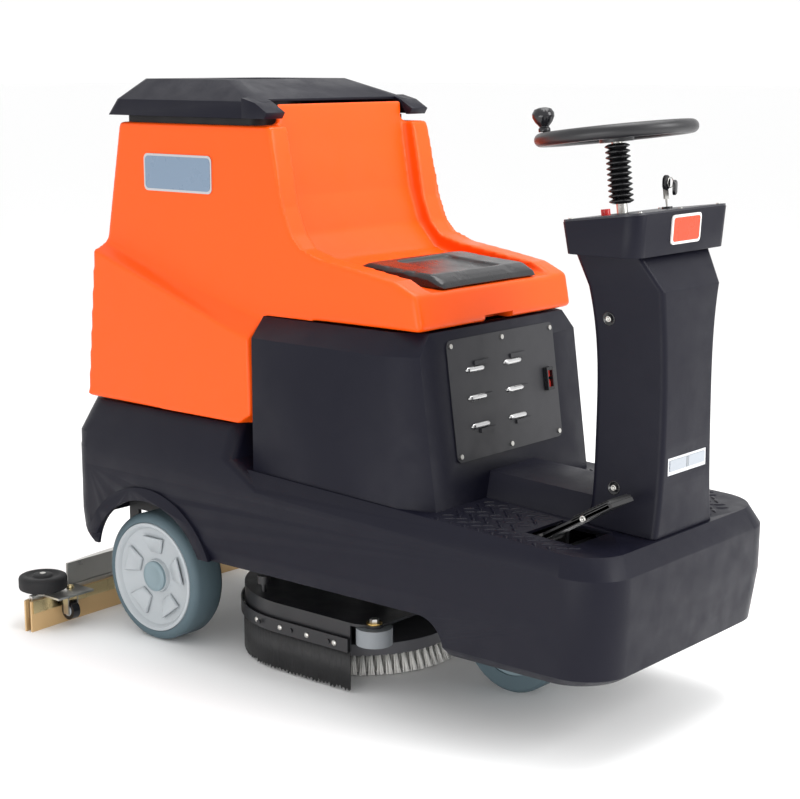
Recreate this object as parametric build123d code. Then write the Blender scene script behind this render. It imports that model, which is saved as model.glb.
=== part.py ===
from build123d import *
import os
from math import asin, atan2, cos, degrees, hypot, radians, sin, sqrt, tan

# Ride-on scrubber dryer. Millimetres, +X forward, +Y to the machine's left, +Z up.
# The origin lies on the floor under the centre of the machine's footprint.
os.makedirs("parts", exist_ok=True)

# ---------------------------------------------------------------- driving sizes
body_length = 1494            # body moulding, tail to nose
body_width = 656              # body moulding across its sides
body_wall = 6
squeegee_reach = 104          # squeegee blades behind the body's tail
wheelbase = 840
deck_slope = 2.5              # foot deck falls towards the nose, degrees
deck_height = 417             # foot deck at the nose
band_height = 39              # sloped edge band round the foot deck
saddle_height = 548           # shelf that carries the recovery tank
saddle_edge_height = 477
seat_height = 792             # underside of the seat moulding
seat_box_clearance = 4        # between the seat box and the seat moulding
tank_width = 524              # recovery tank across its upper part
tank_wall = 5
tank_height = 1188            # rim of the recovery tank
lid_height = 1283
column_width = 176            # steering column at its waist
steering_tilt = 7.0           # steering axis leans back, degrees
steering_wheel_diameter = 320
rim_thickness = 27
rear_wheel_diameter = 300
rear_wheel_width = 90
rear_track = 500              # between the middles of the rear tyres
drive_wheel_diameter = 250
drive_wheel_width = 76
brush_diameter = 500
deck_lift = 50                # travel of the brush deck
squeegee_width = 896
blade_thickness = 5
running_fit = 0.05            # radial clearance of a shaft in its bore
gap = 0.5                     # between parts that pass each other
screw_radius = 5

# ---------------------------------------------------------------- stations
nose_x = (body_length + squeegee_reach) / 2
tail_x = nose_x - body_length
axle_x = tail_x + 230
drive_x = axle_x + wheelbase
half_body = body_width / 2
half_tank = tank_width / 2
rear_wheel_radius = rear_wheel_diameter / 2
drive_wheel_radius = drive_wheel_diameter / 2
slope = tan(radians(deck_slope))

nodes = {}


def block(x0, x1, y0, y1, z0, z1):
    """Box between two corners."""
    return Pos((x0 + x1) / 2, (y0 + y1) / 2, (z0 + z1) / 2) * Box(x1 - x0, y1 - y0, z1 - z0)


def post(x, y, z0, z1, radius):
    """Round bar along Z."""
    return Pos(x, y, (z0 + z1) / 2) * Cylinder(radius, z1 - z0)


def bar_y(x, z, y0, y1, radius):
    """Round bar along Y."""
    return Pos(x, (y0 + y1) / 2, z) * Rot(90, 0, 0) * Cylinder(radius, y1 - y0)


def bar_x(y, z, x0, x1, radius):
    """Round bar along X."""
    return Pos((x0 + x1) / 2, y, z) * Rot(0, 90, 0) * Cylinder(radius, x1 - x0)


def side_face(points, shrink=0.0):
    """Flat outline from (x, z) points, drawn in X and Y, optionally shrunk all round."""
    face = make_face(Polyline(*points, close=True))
    return offset(face, amount=-shrink, kind=Kind.INTERSECTION) if shrink else face


def side_prism(points, y0, y1, shrink=0.0):
    """Side outline of (x, z) points, run across the machine from y0 to y1."""
    return extrude(Plane.XZ.offset(-y1) * side_face(points, shrink), amount=y1 - y0, dir=(0, -1, 0))


def outline(x0, x1, half_width, rear_radius, front_radius):
    """Plan outline, even about the middle, with its own radius at the rear and at the front corners."""
    shape = Pos((x0 + x1) / 2, 0) * Rectangle(x1 - x0, 2 * half_width)
    shape = fillet(shape.vertices().group_by(Axis.X)[-1], front_radius)
    return fillet(shape.vertices().group_by(Axis.X)[0], rear_radius)


def both_sides(shape):
    """A shape and its mirror image across the machine's middle."""
    return shape + mirror(shape, about=Plane.XZ)


def left_of(shape):
    """The mirror image of a right-hand piece."""
    return mirror(shape, about=Plane.XZ)


def deck_z(x, height=deck_height):
    """Height of the sloping foot deck at a station."""
    return height + (nose_x - x) * slope


# ---------------------------------------------------------------- body shell
nose_radius = 98
tail_radius = 55
bumper_bottom = 158
sill_height = 238             # lower edge of the body's sides
tail_sill_height = 210
arch_radius = rear_wheel_radius + 42
arch_x = axle_x + 28
arch_flare = 30
arch_rise = 5                 # the flare stands out of the body's side
wheelhouse_x = drive_x + 40   # from here forward the body reaches down to the bumper's bottom
seat_box_rear = axle_x + 345
seat_box_front = axle_x + 775
seat_box_rake = 0.1377        # seat box front slopes out towards the floor
seat_box_half = 300
seat_box_shoulder = 745
seat_box_top = seat_height - seat_box_clearance
hump_half = 78
hump_height = 52


def hull_form(inset):
    """Lower hull: rounded in plan, tucked in under the bumper line, with a sloped band round the deck."""
    length = body_length - inset
    levels = [(bumper_bottom, 44, 38), (180, 12, 14), (286, 1, 1)]
    sections = []
    for height, setback, tuck in levels:
        low = height - (1 if inset and height == bumper_bottom else 0)
        plan = outline(-length, -setback - inset, half_body - tuck - inset, tail_radius - inset, nose_radius - inset)
        sections.append(Pos(nose_x, 0, low) * plan)
    for height, setback in ((deck_height - band_height, 0), (deck_height, 22)):
        drop = inset if height == deck_height else inset / 2
        lean = radians(deck_slope)
        plane = Plane((nose_x, 0, height - drop), x_dir=(cos(lean), 0, -sin(lean)), z_dir=(sin(lean), 0, cos(lean)))
        plan = outline(-length, -setback - inset, half_body - setback - inset, tail_radius - inset,
                       nose_radius - setback / 2 - inset)
        sections.append(plane * plan)
    return loft(sections, ruled=True)


def saddle_form(inset):
    """Raised rear of the body that carries the recovery tank."""
    levels = [(400 - 2 * inset, 2, 430, 0), (saddle_edge_height - inset / 2, 4, 300, 0),
              (saddle_height - inset, 18, 290, 40)]
    sections = []
    for height, tail, front, tuck in levels:
        plan = outline(tail_x + tail + inset, axle_x + front - inset, half_body - tuck - inset,
                       tail_radius - inset, 30 - inset)
        sections.append(Pos(0, 0, height) * plan)
    return loft(sections, ruled=True)


def seat_box_form(inset):
    """Box under the seat, with a facet down each front corner."""
    sections = []
    for height, tuck in ((400 - 2 * inset, 0), (seat_box_shoulder, 0), (seat_box_top - inset, 38)):
        front = seat_box_front + (seat_box_top - height) * seat_box_rake - inset
        rear = seat_box_rear + inset
        half = seat_box_half - tuck - inset
        points = [(rear, -half), (front - 74, -half), (front, -half + 34), (front, half - 34),
                  (front - 74, half), (rear, half)]
        sections.append(Pos(0, 0, height) * make_face(Polyline(*points, close=True)))
    return loft(sections, ruled=True)


column_rear_setback = 187     # column's rear face behind the nose
column_foot = 3               # the foot stands out behind the column


def hump_form(inset):
    """Tunnel over the drive unit, between the seat box and the steering column."""
    rear = seat_box_front + 20
    front = nose_x - column_rear_setback - column_foot - gap
    foot = 30
    sections = []
    for rise, spread in ((-20 - 2 * inset, foot), (hump_height - inset, 0)):
        points = [(rear, deck_z(rear)), (front, deck_z(front))]
        lean = radians(deck_slope)
        plane = Plane((rear, 0, points[0][1] + rise), x_dir=(cos(lean), 0, -sin(lean)),
                      z_dir=(sin(lean), 0, cos(lean)))
        half = hump_half + spread - inset
        plan = Pos((front - rear) / 2, 0) * Rectangle(front - rear, 2 * half)
        sections.append(plane * plan)
    return loft(sections, ruled=True)


def body_form(inset):
    return hull_form(inset) + saddle_form(inset) + seat_box_form(inset) + hump_form(inset)


bay_rear = seat_box_rear + 20
bay_front = seat_box_front - 30
bay_half = 235
bay_opening = block(bay_rear, bay_front, -bay_half, bay_half, seat_box_shoulder - 40, seat_box_top + 10)

wheel_arches = both_sides(bar_y(arch_x, rear_wheel_radius, -half_body - 20, -rear_track / 2 + 90, arch_radius))
flare_ring = (bar_y(arch_x, rear_wheel_radius, -half_body - arch_rise, -half_body + body_wall, arch_radius + arch_flare)
              - bar_y(arch_x, rear_wheel_radius, -half_body - 20, -half_body + 20, arch_radius))
flare_ring -= block(arch_x - 300, arch_x + 300, -half_body - 50, 0, -300, sill_height)

# The sills end above the wheels and the brush deck. Only the bumper reaches further down.
clear_round = 60
brush_space = block(tail_x - 20, wheelhouse_x, -half_body - 20, half_body + 20, 0, sill_height)
brush_space = fillet(brush_space.edges().filter_by(Axis.Y).sort_by(lambda e: e.center().X + e.center().Z)[-1],
                     clear_round)
brush_space -= block(tail_x - 30, arch_x, -half_body - 30, half_body + 30, tail_sill_height, sill_height + 10)
tail_corner = side_prism([(tail_x - 30, 195), (tail_x - 30, 266), (tail_x - 6, 266), (tail_x + 82, 195)],
                         -half_body - 20, half_body + 20)

# Pedal pocket in the right-hand side of the foot deck.
pedal_y = -182
pocket_rear = nose_x - 236
pocket_front = nose_x - 120
pocket_half = 62
pocket = block(pocket_rear, pocket_front, pedal_y - pocket_half, pedal_y + pocket_half, deck_height - 60,
               deck_height + 60)

# Steering column opening and cut-out behind the access panel.
column_hole = block(nose_x - 160, nose_x - 52, -70, 70, deck_height - 60, deck_height + 90)
panel_width = 366
panel_height = 250
panel_middle_z = 644
panel_thickness = 2
panel_vent = block(seat_box_front - 60, seat_box_front + 60, -162, 162, panel_middle_z - 95, panel_middle_z + 95)

# Filler neck at the tail.
filler_y = 215
filler_z = 425
filler_radius = 40
filler_hole = bar_x(filler_y, filler_z, tail_x - 20, tail_x + 40, filler_radius + 1)

body_shell = body_form(0)
body_shell += flare_ring + left_of(flare_ring)
body_shell -= body_form(body_wall)
for cutter in (bay_opening, wheel_arches, brush_space, tail_corner, pocket, column_hole, panel_vent, filler_hole):
    body_shell -= cutter
nodes["body_shell"] = body_shell

# ---------------------------------------------------------------- chassis
rail_inner = 150
rail_outer = 180
rail_bottom = 262
rail_top = 302
plate = 12
crown_bottom = drive_wheel_diameter + 4
crown_top = crown_bottom + 14
sprocket_z = crown_top + 20
head_z = sprocket_z + 14      # underside of the plate that the drive unit turns in
arm_pivot_z = 272
arm_run = 140                 # along X, chassis pivot to deck pivot
arm_drop = 40                 # along Z
arm_pin_radius = 8
arm_inner = 112
arm_outer = 120
brush_x = axle_x + 385
front_arm_x = brush_x + 265   # chassis pivots of the two pairs of deck arms
rear_arm_x = brush_x - 45
axle_radius = 12.5
head_bore = 25
stub_radius = 12
stub_x = nose_x - 117
stub_top = 416
steering_axis_x = nose_x - 117
steering_axis_z = 440
squeegee_pivot_x = tail_x + 50
squeegee_pivot_z = 205
squeegee_pin_radius = 8
lug_half = 42
lug_thickness = 8
tray_z = 345
battery_length = 300
battery_width = 240
battery_height = 270
battery_rear = axle_x + 400
outrigger_half = half_body - 16

steering_lean = radians(steering_tilt)
steering_direction = (-sin(steering_lean), 0, cos(steering_lean))


def on_steering_axis(distance):
    """Plane across the steering axis, a distance up from its lower end."""
    origin = (steering_axis_x + distance * steering_direction[0], 0, steering_axis_z + distance * steering_direction[2])
    return Plane(origin, x_dir=(cos(steering_lean), 0, sin(steering_lean)), z_dir=steering_direction)


def steering_bar(start, end, radius):
    """Round bar along the steering axis."""
    return on_steering_axis((start + end) / 2) * Cylinder(radius, end - start)


chassis = both_sides(block(tail_x + 30, nose_x - 34, -rail_outer, -rail_inner, rail_bottom, rail_top))
for x0, x1, half in ((tail_x + 30, tail_x + 70, rail_outer), (drive_x - 170, drive_x - 140, outrigger_half),
                     (nose_x - 64, nose_x - 34, 200)):
    chassis += block(x0, x1, -half, half, rail_bottom, rail_top)
chassis += both_sides(block(axle_x + 240, axle_x + 280, -outrigger_half, -rail_inner, rail_bottom, rail_top))
hanger = block(axle_x - 40, axle_x + 40, -rail_outer, -rail_outer + 12, rear_wheel_radius - 30, rail_bottom)
chassis += both_sides(hanger)
chassis -= bar_y(axle_x, rear_wheel_radius, -rail_outer - 10, rail_outer + 10, axle_radius + running_fit)
for pivot_x in (front_arm_x, rear_arm_x):
    chassis += both_sides(bar_y(pivot_x, arm_pivot_z, -rail_inner - 1, -arm_inner + 6, arm_pin_radius))
squeegee_lug = block(squeegee_pivot_x - 20, squeegee_pivot_x + 20, -lug_half - lug_thickness, -lug_half,
                     squeegee_pivot_z - 18, rail_bottom)
chassis += both_sides(squeegee_lug)
chassis -= bar_y(squeegee_pivot_x, squeegee_pivot_z, -60, 60, squeegee_pin_radius + running_fit)
# Head plates over the drive unit and under the steering column, on risers from the rails.
for x0, x1 in ((drive_x - 70, drive_x + 70), (stub_x - 45, nose_x - 50)):
    chassis += block(x0, x1, -rail_outer, rail_outer, head_z, head_z + plate)
    chassis += both_sides(block(x0, x1, -rail_outer, -rail_inner, rail_top - 5, head_z + plate))
chassis -= post(drive_x, 0, head_z - 1, head_z + plate + 1, head_bore + running_fit)
chassis -= post(stub_x, 0, head_z - 1, head_z + plate + 1, stub_radius + running_fit)
# Battery tray on four feet.
chassis += block(battery_rear - 10, battery_rear + battery_length + 10, -battery_width - 8, battery_width + 8, tray_z,
                 tray_z + 8)
for foot_x in (battery_rear + 10, battery_rear + battery_length - 40):
    chassis += both_sides(block(foot_x, foot_x + 30, -rail_outer, -rail_inner, rail_top, tray_z))
# Tie-down eyes hang from the rails beside the drive unit and at the tail.
tie_radius = 8
for tie_x, tie_z in ((drive_x - 60, sill_height - 16), (tail_x + 45, tail_sill_height - 15)):
    ear = block(tie_x - 16, tie_x + 16, -rail_outer, -rail_outer + 10, tie_z - 16, rail_bottom)
    ear -= bar_y(tie_x, tie_z, -rail_outer - 5, -rail_outer + 15, tie_radius)
    chassis += both_sides(ear)
nodes["chassis_frame"] = chassis

# Mast inside the steering column, bolted to the front head plate, with two rings for the steering shaft.
shaft_radius = 11
mast_rear = nose_x - 66
mast_top = 900
mast_thickness = 8
mast_half = 35
mast = block(mast_rear, mast_rear + mast_thickness, -mast_half, mast_half, head_z + plate, mast_top)
for level in (40, 340):
    reach = on_steering_axis(level).origin
    mast += block(reach.X, mast_rear + mast_thickness / 2, -9, 9, reach.Z - 8, reach.Z + 8)
    mast += steering_bar(level - 9, level + 9, shaft_radius + 4)
    mast -= steering_bar(level - 30, level + 30, shaft_radius + running_fit)
nodes["steering_mast"] = mast

battery_y = -battery_width / 2 - 3
battery = block(battery_rear, battery_rear + battery_length, battery_y - battery_width / 2,
                battery_y + battery_width / 2, tray_z + 8, tray_z + 8 + battery_height)
battery = fillet(battery.edges().filter_by(Axis.Z), 12)
for along in (0.2, 0.8):
    battery += post(battery_rear + along * battery_length, battery_y - 80, tray_z + 7 + battery_height,
                    tray_z + 20 + battery_height, 9)
nodes["batteries"] = both_sides(battery)

# Solution tank over the rear axle, stepped to clear the wheels.
solution_rear = tail_x + 30
solution_front = axle_x + 285
solution_step = rear_wheel_radius + arch_radius + 12
solution_tank = block(solution_rear, solution_front, -rail_outer + 5, rail_outer - 5, rail_top + 1, solution_step + 1)
solution_top = saddle_height - 24
solution_tank += block(solution_rear, solution_front, -half_body + 55, half_body - 55, solution_step, solution_top)
solution_inside = block(solution_rear + 5, solution_front - 5, -half_body + 60, half_body - 60, solution_step + 5,
                        solution_top - 5)
solution_inside += block(solution_rear + 5, solution_front - 5, -rail_outer + 10, rail_outer - 10, rail_top + 6,
                         solution_step + 6)
solution_tank -= solution_inside
neck = bar_x(filler_y, filler_z, tail_x - 4, solution_rear + 2, filler_radius - 3)
solution_tank += neck
solution_tank -= bar_x(filler_y, filler_z, tail_x - 10, solution_rear + 12, filler_radius - 9)
nodes["solution_tank"] = solution_tank

filler_cap = bar_x(filler_y, filler_z, tail_x - 22, tail_x - 4, filler_radius + 6)
filler_cap += bar_x(filler_y, filler_z, tail_x - 5, tail_x + 10, filler_radius - 9.5)
nodes["filler_cap"] = filler_cap

# ---------------------------------------------------------------- access panel
rake_angle = degrees(atan2(seat_box_rake, 1))
panel_x = seat_box_front + (seat_box_top - panel_middle_z) * seat_box_rake
panel_plane = Plane((panel_x, 0, panel_middle_z), x_dir=(0, 1, 0), z_dir=(cos(radians(rake_angle)), 0,
                                                                          sin(radians(rake_angle))))
panel_screw_places = [(-panel_width / 2 + 12, panel_height / 2 - 12), (0, panel_height / 2 - 12),
                      (panel_width / 2 - 12, panel_height / 2 - 12), (-panel_width / 2 + 12, -panel_height / 2 + 12),
                      (0, -panel_height / 2 + 12), (panel_width / 2 - 12, -panel_height / 2 + 12)]
louvre_places = [(side, row) for side in (-75, 48) for row in (70, 0, -70)]
panel_start = 0.3             # the panel rests just off the moulding
access_panel = panel_plane * (Pos(0, 0, panel_start + panel_thickness / 2)
                              * extrude(RectangleRounded(panel_width, panel_height, 14), panel_thickness / 2, both=True))
for across, up in louvre_places:
    access_panel += panel_plane * (Pos(across, up, panel_start + panel_thickness) * Box(52, 9, 8))
socket_across = 146
socket_up = 5
access_panel -= panel_plane * (Pos(socket_across, socket_up, 0) * Box(24, 50, 30))
nodes["access_panel"] = access_panel

charging_socket = panel_plane * (Pos(socket_across, socket_up, 0) * Box(23, 49, 26))
charging_socket -= panel_plane * (Pos(socket_across, socket_up, 12) * Box(15, 36, 16))
nodes["charging_socket"] = charging_socket

controller = block(seat_box_front - 66, seat_box_front - 22, -120, 120, 560, 720)
nodes["motor_controller"] = controller

# ---------------------------------------------------------------- recovery tank
def at_axle(points):
    """Side outline given forward of the rear axle."""
    return [(axle_x + x, z) for x, z in points]


tank_foot = saddle_height + 2
band_line_rear = 920
band_line_front = seat_height - 2
lower_outer = at_axle([(-196, tank_foot + 6), (-160, 898), (331, 742), (335, 575), (300, tank_foot + 4)])
lower_inner = at_axle([(-204, tank_foot), (-162, band_line_rear), (342, band_line_front), (342, 575),
                       (312, tank_foot)])
upper_outline = at_axle([(-162, 905), (-107, tank_height), (368, tank_height), (384, 1110), (400, 1020), (422, 965),
                         (450, 935), (507, 920), (590, 908), (710, 890), (762, 864), (774, 800), (768, seat_height),
                         (330, seat_height), (330, 760)])
backrest_outline = at_axle([(322, tank_height - 20), (330, 1234), (350, 1238), (362, 1225), (375, 1150)])
scoop_outline = at_axle([(334, 1240), (345, 1150), (364, 1040), (392, 960), (440, 906), (520, 880), (720, 868),
                         (810, 859), (810, 1240)])
scoop_half = 205
block_half = seat_box_half


def ramp_sides(inner_points, outer_points, inner_half, outer_half):
    """Blister on one side of the tank: its outline shrinks from the tank's side outwards."""
    inner = Plane.XZ.offset(inner_half) * make_face(Polyline(*inner_points, close=True))
    outer = Plane.XZ.offset(outer_half) * make_face(Polyline(*outer_points, close=True))
    return loft([inner, outer], ruled=True)


tank = side_prism(lower_inner, -half_tank, half_tank)
tank += both_sides(ramp_sides(lower_inner, lower_outer, half_tank, block_half))
tank += side_prism(upper_outline, -half_tank, half_tank)
tank += side_prism(backrest_outline, -scoop_half + 4, scoop_half - 4)
tank -= side_prism(scoop_outline, -scoop_half, scoop_half)
tank_inside = side_prism(lower_inner, -half_tank + tank_wall, half_tank - tank_wall, tank_wall)
tank_inside += side_prism(lower_outer, -block_half + tank_wall, block_half - tank_wall, tank_wall + 2)
tank_inside += side_prism(upper_outline, -half_tank + tank_wall, half_tank - tank_wall, tank_wall)
scoop_backing = at_axle([(334 - 6, 1260), (345 - 6, 1150), (364 - 6, 1038), (390 - 6, 955), (438, 900), (520, 874),
                         (720, 862), (810, 853), (810, 1260)])
tank_inside -= side_prism(scoop_backing, -scoop_half - 5, scoop_half + 5)
tank_inside -= block(axle_x + 312, axle_x + 420, -half_tank, half_tank, 1140, 1300)
tank -= tank_inside
# Finger notch under the seat's front edge.
notch_half = 48
tank += block(axle_x + 728, axle_x + 767, -notch_half - 6, notch_half + 6, seat_height, seat_height + 20)
tank -= block(axle_x + 734, axle_x + 785, -notch_half, notch_half, seat_height - 1, seat_height + 14)
mouth_rear = axle_x - 70
mouth_front = axle_x + 300
mouth_half = 205
tank -= block(mouth_rear, mouth_front, -mouth_half, mouth_half, tank_height - 30, tank_height + 10)

# Suction spigot on the tank's back.
spigot_y = -110
spigot_z = 1090
spigot_radius = 24
spigot_bore = 19
spigot_rear = axle_x - 174
pad_face = axle_x - 134
spigot_pad = [(pad_face, 1056), (pad_face, 1124), (axle_x - 117.4, 1124), (axle_x - 130.6, 1056)]
tank += side_prism(spigot_pad, spigot_y - 34, spigot_y + 34)
tank += bar_x(spigot_y, spigot_z, spigot_rear, pad_face + 1, spigot_radius)
tank -= bar_x(spigot_y, spigot_z, spigot_rear - 5, axle_x - 100, spigot_bore)

# Rear hinge of the tank: knuckles on the tank at both sides of a knuckle on each body bracket.
tank_hinge_x = tail_x + 4
tank_hinge_z = saddle_height + 16
hinge_y = 130
knuckle_radius = 9
hinge_pin_radius = 5
for side in (-1, 1):
    for start in (-44, 24):
        y0 = side * hinge_y + start
        knuckle = bar_y(tank_hinge_x, tank_hinge_z, y0, y0 + 20, knuckle_radius)
        knuckle += block(tank_hinge_x, axle_x - 198, y0, y0 + 20, tank_hinge_z - 6, tank_hinge_z + 8)
        tank += knuckle
    tank -= bar_y(tank_hinge_x, tank_hinge_z, side * hinge_y - 60, side * hinge_y + 60, hinge_pin_radius + running_fit)

# Lid hinge at the top rear edge of the tank.
lid_hinge_x = axle_x - 124
lid_hinge_z = tank_height - 6
lid_pin_radius = 4
lid_knuckle_radius = 7.5
for side in (-1, 1):
    y0 = side * 150 - 15
    knuckle = bar_y(lid_hinge_x, lid_hinge_z, y0, y0 + 30, lid_knuckle_radius)
    knuckle += block(lid_hinge_x, axle_x - 104, y0, y0 + 30, lid_hinge_z - 6, lid_hinge_z + 4)
    tank += knuckle
    tank -= bar_y(lid_hinge_x, lid_hinge_z, side * 150 - 40, side * 150 + 40, lid_pin_radius + running_fit)
nodes["recovery_tank"] = tank

bracket = None
for side in (-1, 1):
    y0 = side * hinge_y - 20
    piece = block(tail_x - 6, tail_x - 1, y0 - 10, y0 + 50, saddle_edge_height - 25, tank_hinge_z - 18)
    piece += block(tail_x - 6, tank_hinge_x, y0, y0 + 40, tank_hinge_z - 20, tank_hinge_z - 4)
    piece += bar_y(tank_hinge_x, tank_hinge_z, y0, y0 + 40, knuckle_radius)
    piece += bar_y(tank_hinge_x, tank_hinge_z, y0 - 26, y0 + 66, hinge_pin_radius)
    bracket = piece if bracket is None else bracket + piece
nodes["tank_hinge_brackets"] = bracket

badge_length = 216
badge_height = 82
badge_x = axle_x + 88
tank_badge = block(badge_x - badge_length / 2, badge_x + badge_length / 2, -half_tank - 3, -half_tank, 1039,
                   1039 + badge_height)
nodes["tank_badge"] = fillet(tank_badge.edges().filter_by(Axis.Y), 12)

vacuum_x = axle_x + 590
vacuum_motor = post(vacuum_x, 0, seat_height - 40, seat_height, 72) + post(vacuum_x, 0, seat_height - 130,
                                                                         seat_height - 40, 55)
nodes["vacuum_motor"] = vacuum_motor

pad_rear = axle_x + 520
pad_front = axle_x + 758
pad_half = 165
pad_profile = [(pad_rear, 882.5), (pad_rear + 6, 902), (pad_rear + 40, 906), (pad_front - 38, 894),
               (pad_front - 8, 882), (pad_front, 868.5), (pad_front - 32, 869.2)]
seat_pad = side_prism(pad_profile, -pad_half, pad_half)
nodes["seat_pad"] = seat_pad

# ---------------------------------------------------------------- tank lid
lid_foot = tank_height + 15
lid_wall = 4
lid_rear = axle_x - 150


def lid_form(inset):
    """Lid: two ruled steps up to a flat crown."""
    sections = []
    levels = [(lid_foot, 0, 352, half_tank + 2), (1238, 20, 326, half_tank - 8), (lid_height, 46, 188, 190)]
    for height, rear, front, half in levels:
        top = height - (inset if height != lid_foot else 1 if inset else 0)
        if inset and height == lid_height:
            front -= 8
            rear += 8
        plan = outline(lid_rear + rear + inset, axle_x + front - inset, half - inset, 24, 24)
        sections.append(Pos(0, 0, top) * plan)
    return loft(sections, ruled=True)


wing_outline = at_axle([(290, lid_foot), (356, lid_foot), (364, 1216), (330, 1236), (290, 1246)])
wing_inner = scoop_half + 3
backrest_clear = block(axle_x + 312, axle_x + 420, -scoop_half - 2, scoop_half + 2, lid_foot - 10, 1300)
lid = lid_form(0)
lid += both_sides(side_prism(wing_outline, -half_tank - 2, -wing_inner))
lid -= lid_form(lid_wall)
lid -= both_sides(side_prism(wing_outline, -half_tank + 2, -wing_inner - 4, 4.5))
lid -= backrest_clear
tray = outline(axle_x + 20, axle_x + 170, 120, 20, 20)
lid -= Pos(0, 0, lid_height - 3) * extrude(tray, 5)
for side in (-1, 1):
    for start in (-32, 16.5):
        y0 = side * 150 + start
        knuckle = bar_y(lid_hinge_x, lid_hinge_z, y0, y0 + 15.5, lid_knuckle_radius)
        knuckle += block(lid_rear + 1, lid_hinge_x, y0, y0 + 15.5, lid_hinge_z, lid_foot + 8)
        lid += knuckle
    lid += bar_y(lid_hinge_x, lid_hinge_z, side * 150 - 32, side * 150 + 32, lid_pin_radius)
nodes["tank_lid"] = lid

gasket = outline(axle_x - 95, axle_x + 308, half_tank - 12, 20, 20)
gasket -= outline(axle_x - 80, mouth_front + 3, half_tank - 30, 14, 2)
nodes["lid_gasket"] = Pos(0, 0, tank_height) * extrude(gasket, 14)

# ---------------------------------------------------------------- steering column
chest_height = 897            # the column's front points
column_top = 962


def column_form(inset):
    """Column cover: wide foot, narrow waist and a forward chest under the control box."""
    half_waist = column_width / 2
    waist = column_rear_setback
    levels = [(deck_height, 28, waist + column_foot, half_waist + 20), (470, 27, waist, half_waist + 12),
              (560, 26, waist, half_waist + 5), (680, 26, waist, half_waist + 2), (800, 27, waist + 3, half_waist + 6),
              (chest_height, 26, waist + 13, half_waist + 19)]
    sections = []
    for height, front, rear, half in levels:
        plan = outline(-rear + inset, -front - inset, half - inset, 16 - inset, 12 - inset)
        if height == deck_height:
            lean = radians(deck_slope)
            place = Plane((nose_x, 0, height + gap - inset), x_dir=(cos(lean), 0, -sin(lean)),
                          z_dir=(sin(lean), 0, cos(lean)))
        else:
            place = Pos(nose_x, 0, height)
        sections.append(place * plan)
    top = outline(-waist - 31 + inset, -66 - inset, half_waist + 39 - inset, 16 - inset, 12 - inset)
    neck = loft([sections[-1], Pos(nose_x, 0, column_top + (1 if inset else 0)) * top], ruled=True)
    return loft(sections) + neck


column_wall = 5
column_cover = column_form(0) - column_form(column_wall)

lamp_z = 556
lamp_half = 70
column_opening = Pos(nose_x - 34, 0, lamp_z) * Box(30, 2 * lamp_half + 1, 35)
column_cover -= column_opening
nodes["column_cover"] = column_cover
nodes["headlight"] = Pos(nose_x - 36, 0, lamp_z) * Box(18, 2 * lamp_half, 34)

control_half = 172
control_foot = 963
control_wall = 4
control_flare = -5            # the front face falls back towards its foot
control_corner = 34
control_front = nose_x - 45
control_rear = nose_x - 216
dash_height = 1048            # top of the dash at its front edge
dash_lean = radians(steering_tilt)


def dash_plane(drop):
    """Plane of the dash, a distance below its face."""
    origin = (control_front + drop * sin(dash_lean), 0, dash_height - drop * cos(dash_lean))
    return Plane(origin, x_dir=(cos(dash_lean), 0, sin(dash_lean)), z_dir=(-sin(dash_lean), 0, cos(dash_lean)))


dash_length = (control_front - control_rear) / cos(dash_lean)


def control_form(inset, drop):
    foot = outline(control_rear + 10 + inset, control_front + control_flare - inset, control_half - 4 - inset, 12, control_corner - inset)
    top = outline(-dash_length + inset, -inset, control_half - inset, 12, control_corner - inset)
    return loft([Pos(0, 0, control_foot + (control_wall if inset else 0)) * foot, dash_plane(drop) * top], ruled=True)


dash_thickness = 4
control_box = control_form(0, dash_thickness + 0.2) - control_form(control_wall, dash_thickness - 1)
control_box -= block(nose_x - 200, nose_x - 60, -70, 70, control_foot - 5, control_foot + 10)
nodes["control_box"] = control_box

dash = dash_plane(dash_thickness) * extrude(outline(-dash_length + 1, -1, control_half - 1, 12, control_corner - 1), dash_thickness)
shaft_hole = steering_bar(500, 700, shaft_radius + 2)
key_local = (-96, 84)
button_local = (-120, -96)
key_radius = 11
button_radius = 9
dash -= shaft_hole
dash -= dash_plane(20) * (Pos(*key_local) * extrude(Circle(key_radius - 3), 40))
dash -= dash_plane(20) * (Pos(*button_local) * extrude(Circle(button_radius + 0.5), 40))
nodes["dash_panel"] = dash

key_switch = dash_plane(0) * (Pos(key_local[0], key_local[1], -14) * Cylinder(key_radius - 3.5, 28))
key_switch += dash_plane(0) * (Pos(key_local[0], key_local[1], 2) * Cylinder(key_radius, 4))
key_slot = dash_plane(0) * (Pos(key_local[0], key_local[1], -2) * Cylinder(3.5, 14))
key_switch -= key_slot
nodes["key_switch"] = key_switch
key = Pos(key_local[0], key_local[1], 22) * (Pos(0, 0, 10) * Box(4, 14, 26) - Pos(0, 2, 16) * Rot(0, 90, 0) * Cylinder(3, 9))
key += Pos(key_local[0], key_local[1], 8) * Box(2.4, 4, 22)
nodes["ignition_key"] = dash_plane(0) * key
button = Pos(button_local[0], button_local[1], 3) * Cylinder(button_radius, 18)
nodes["emergency_button"] = dash_plane(0) * button

badge_lean = atan2(control_flare, dash_height - control_foot)
badge_plane = Plane((control_front + control_flare / 2, 0, (dash_height + control_foot) / 2), x_dir=(0, 1, 0),
                    z_dir=(cos(badge_lean), 0, sin(badge_lean)))
nodes["front_badge"] = badge_plane * (Pos(0, 4, 2.2) * extrude(RectangleRounded(104, 56, 8), 1.5, both=True))

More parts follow.
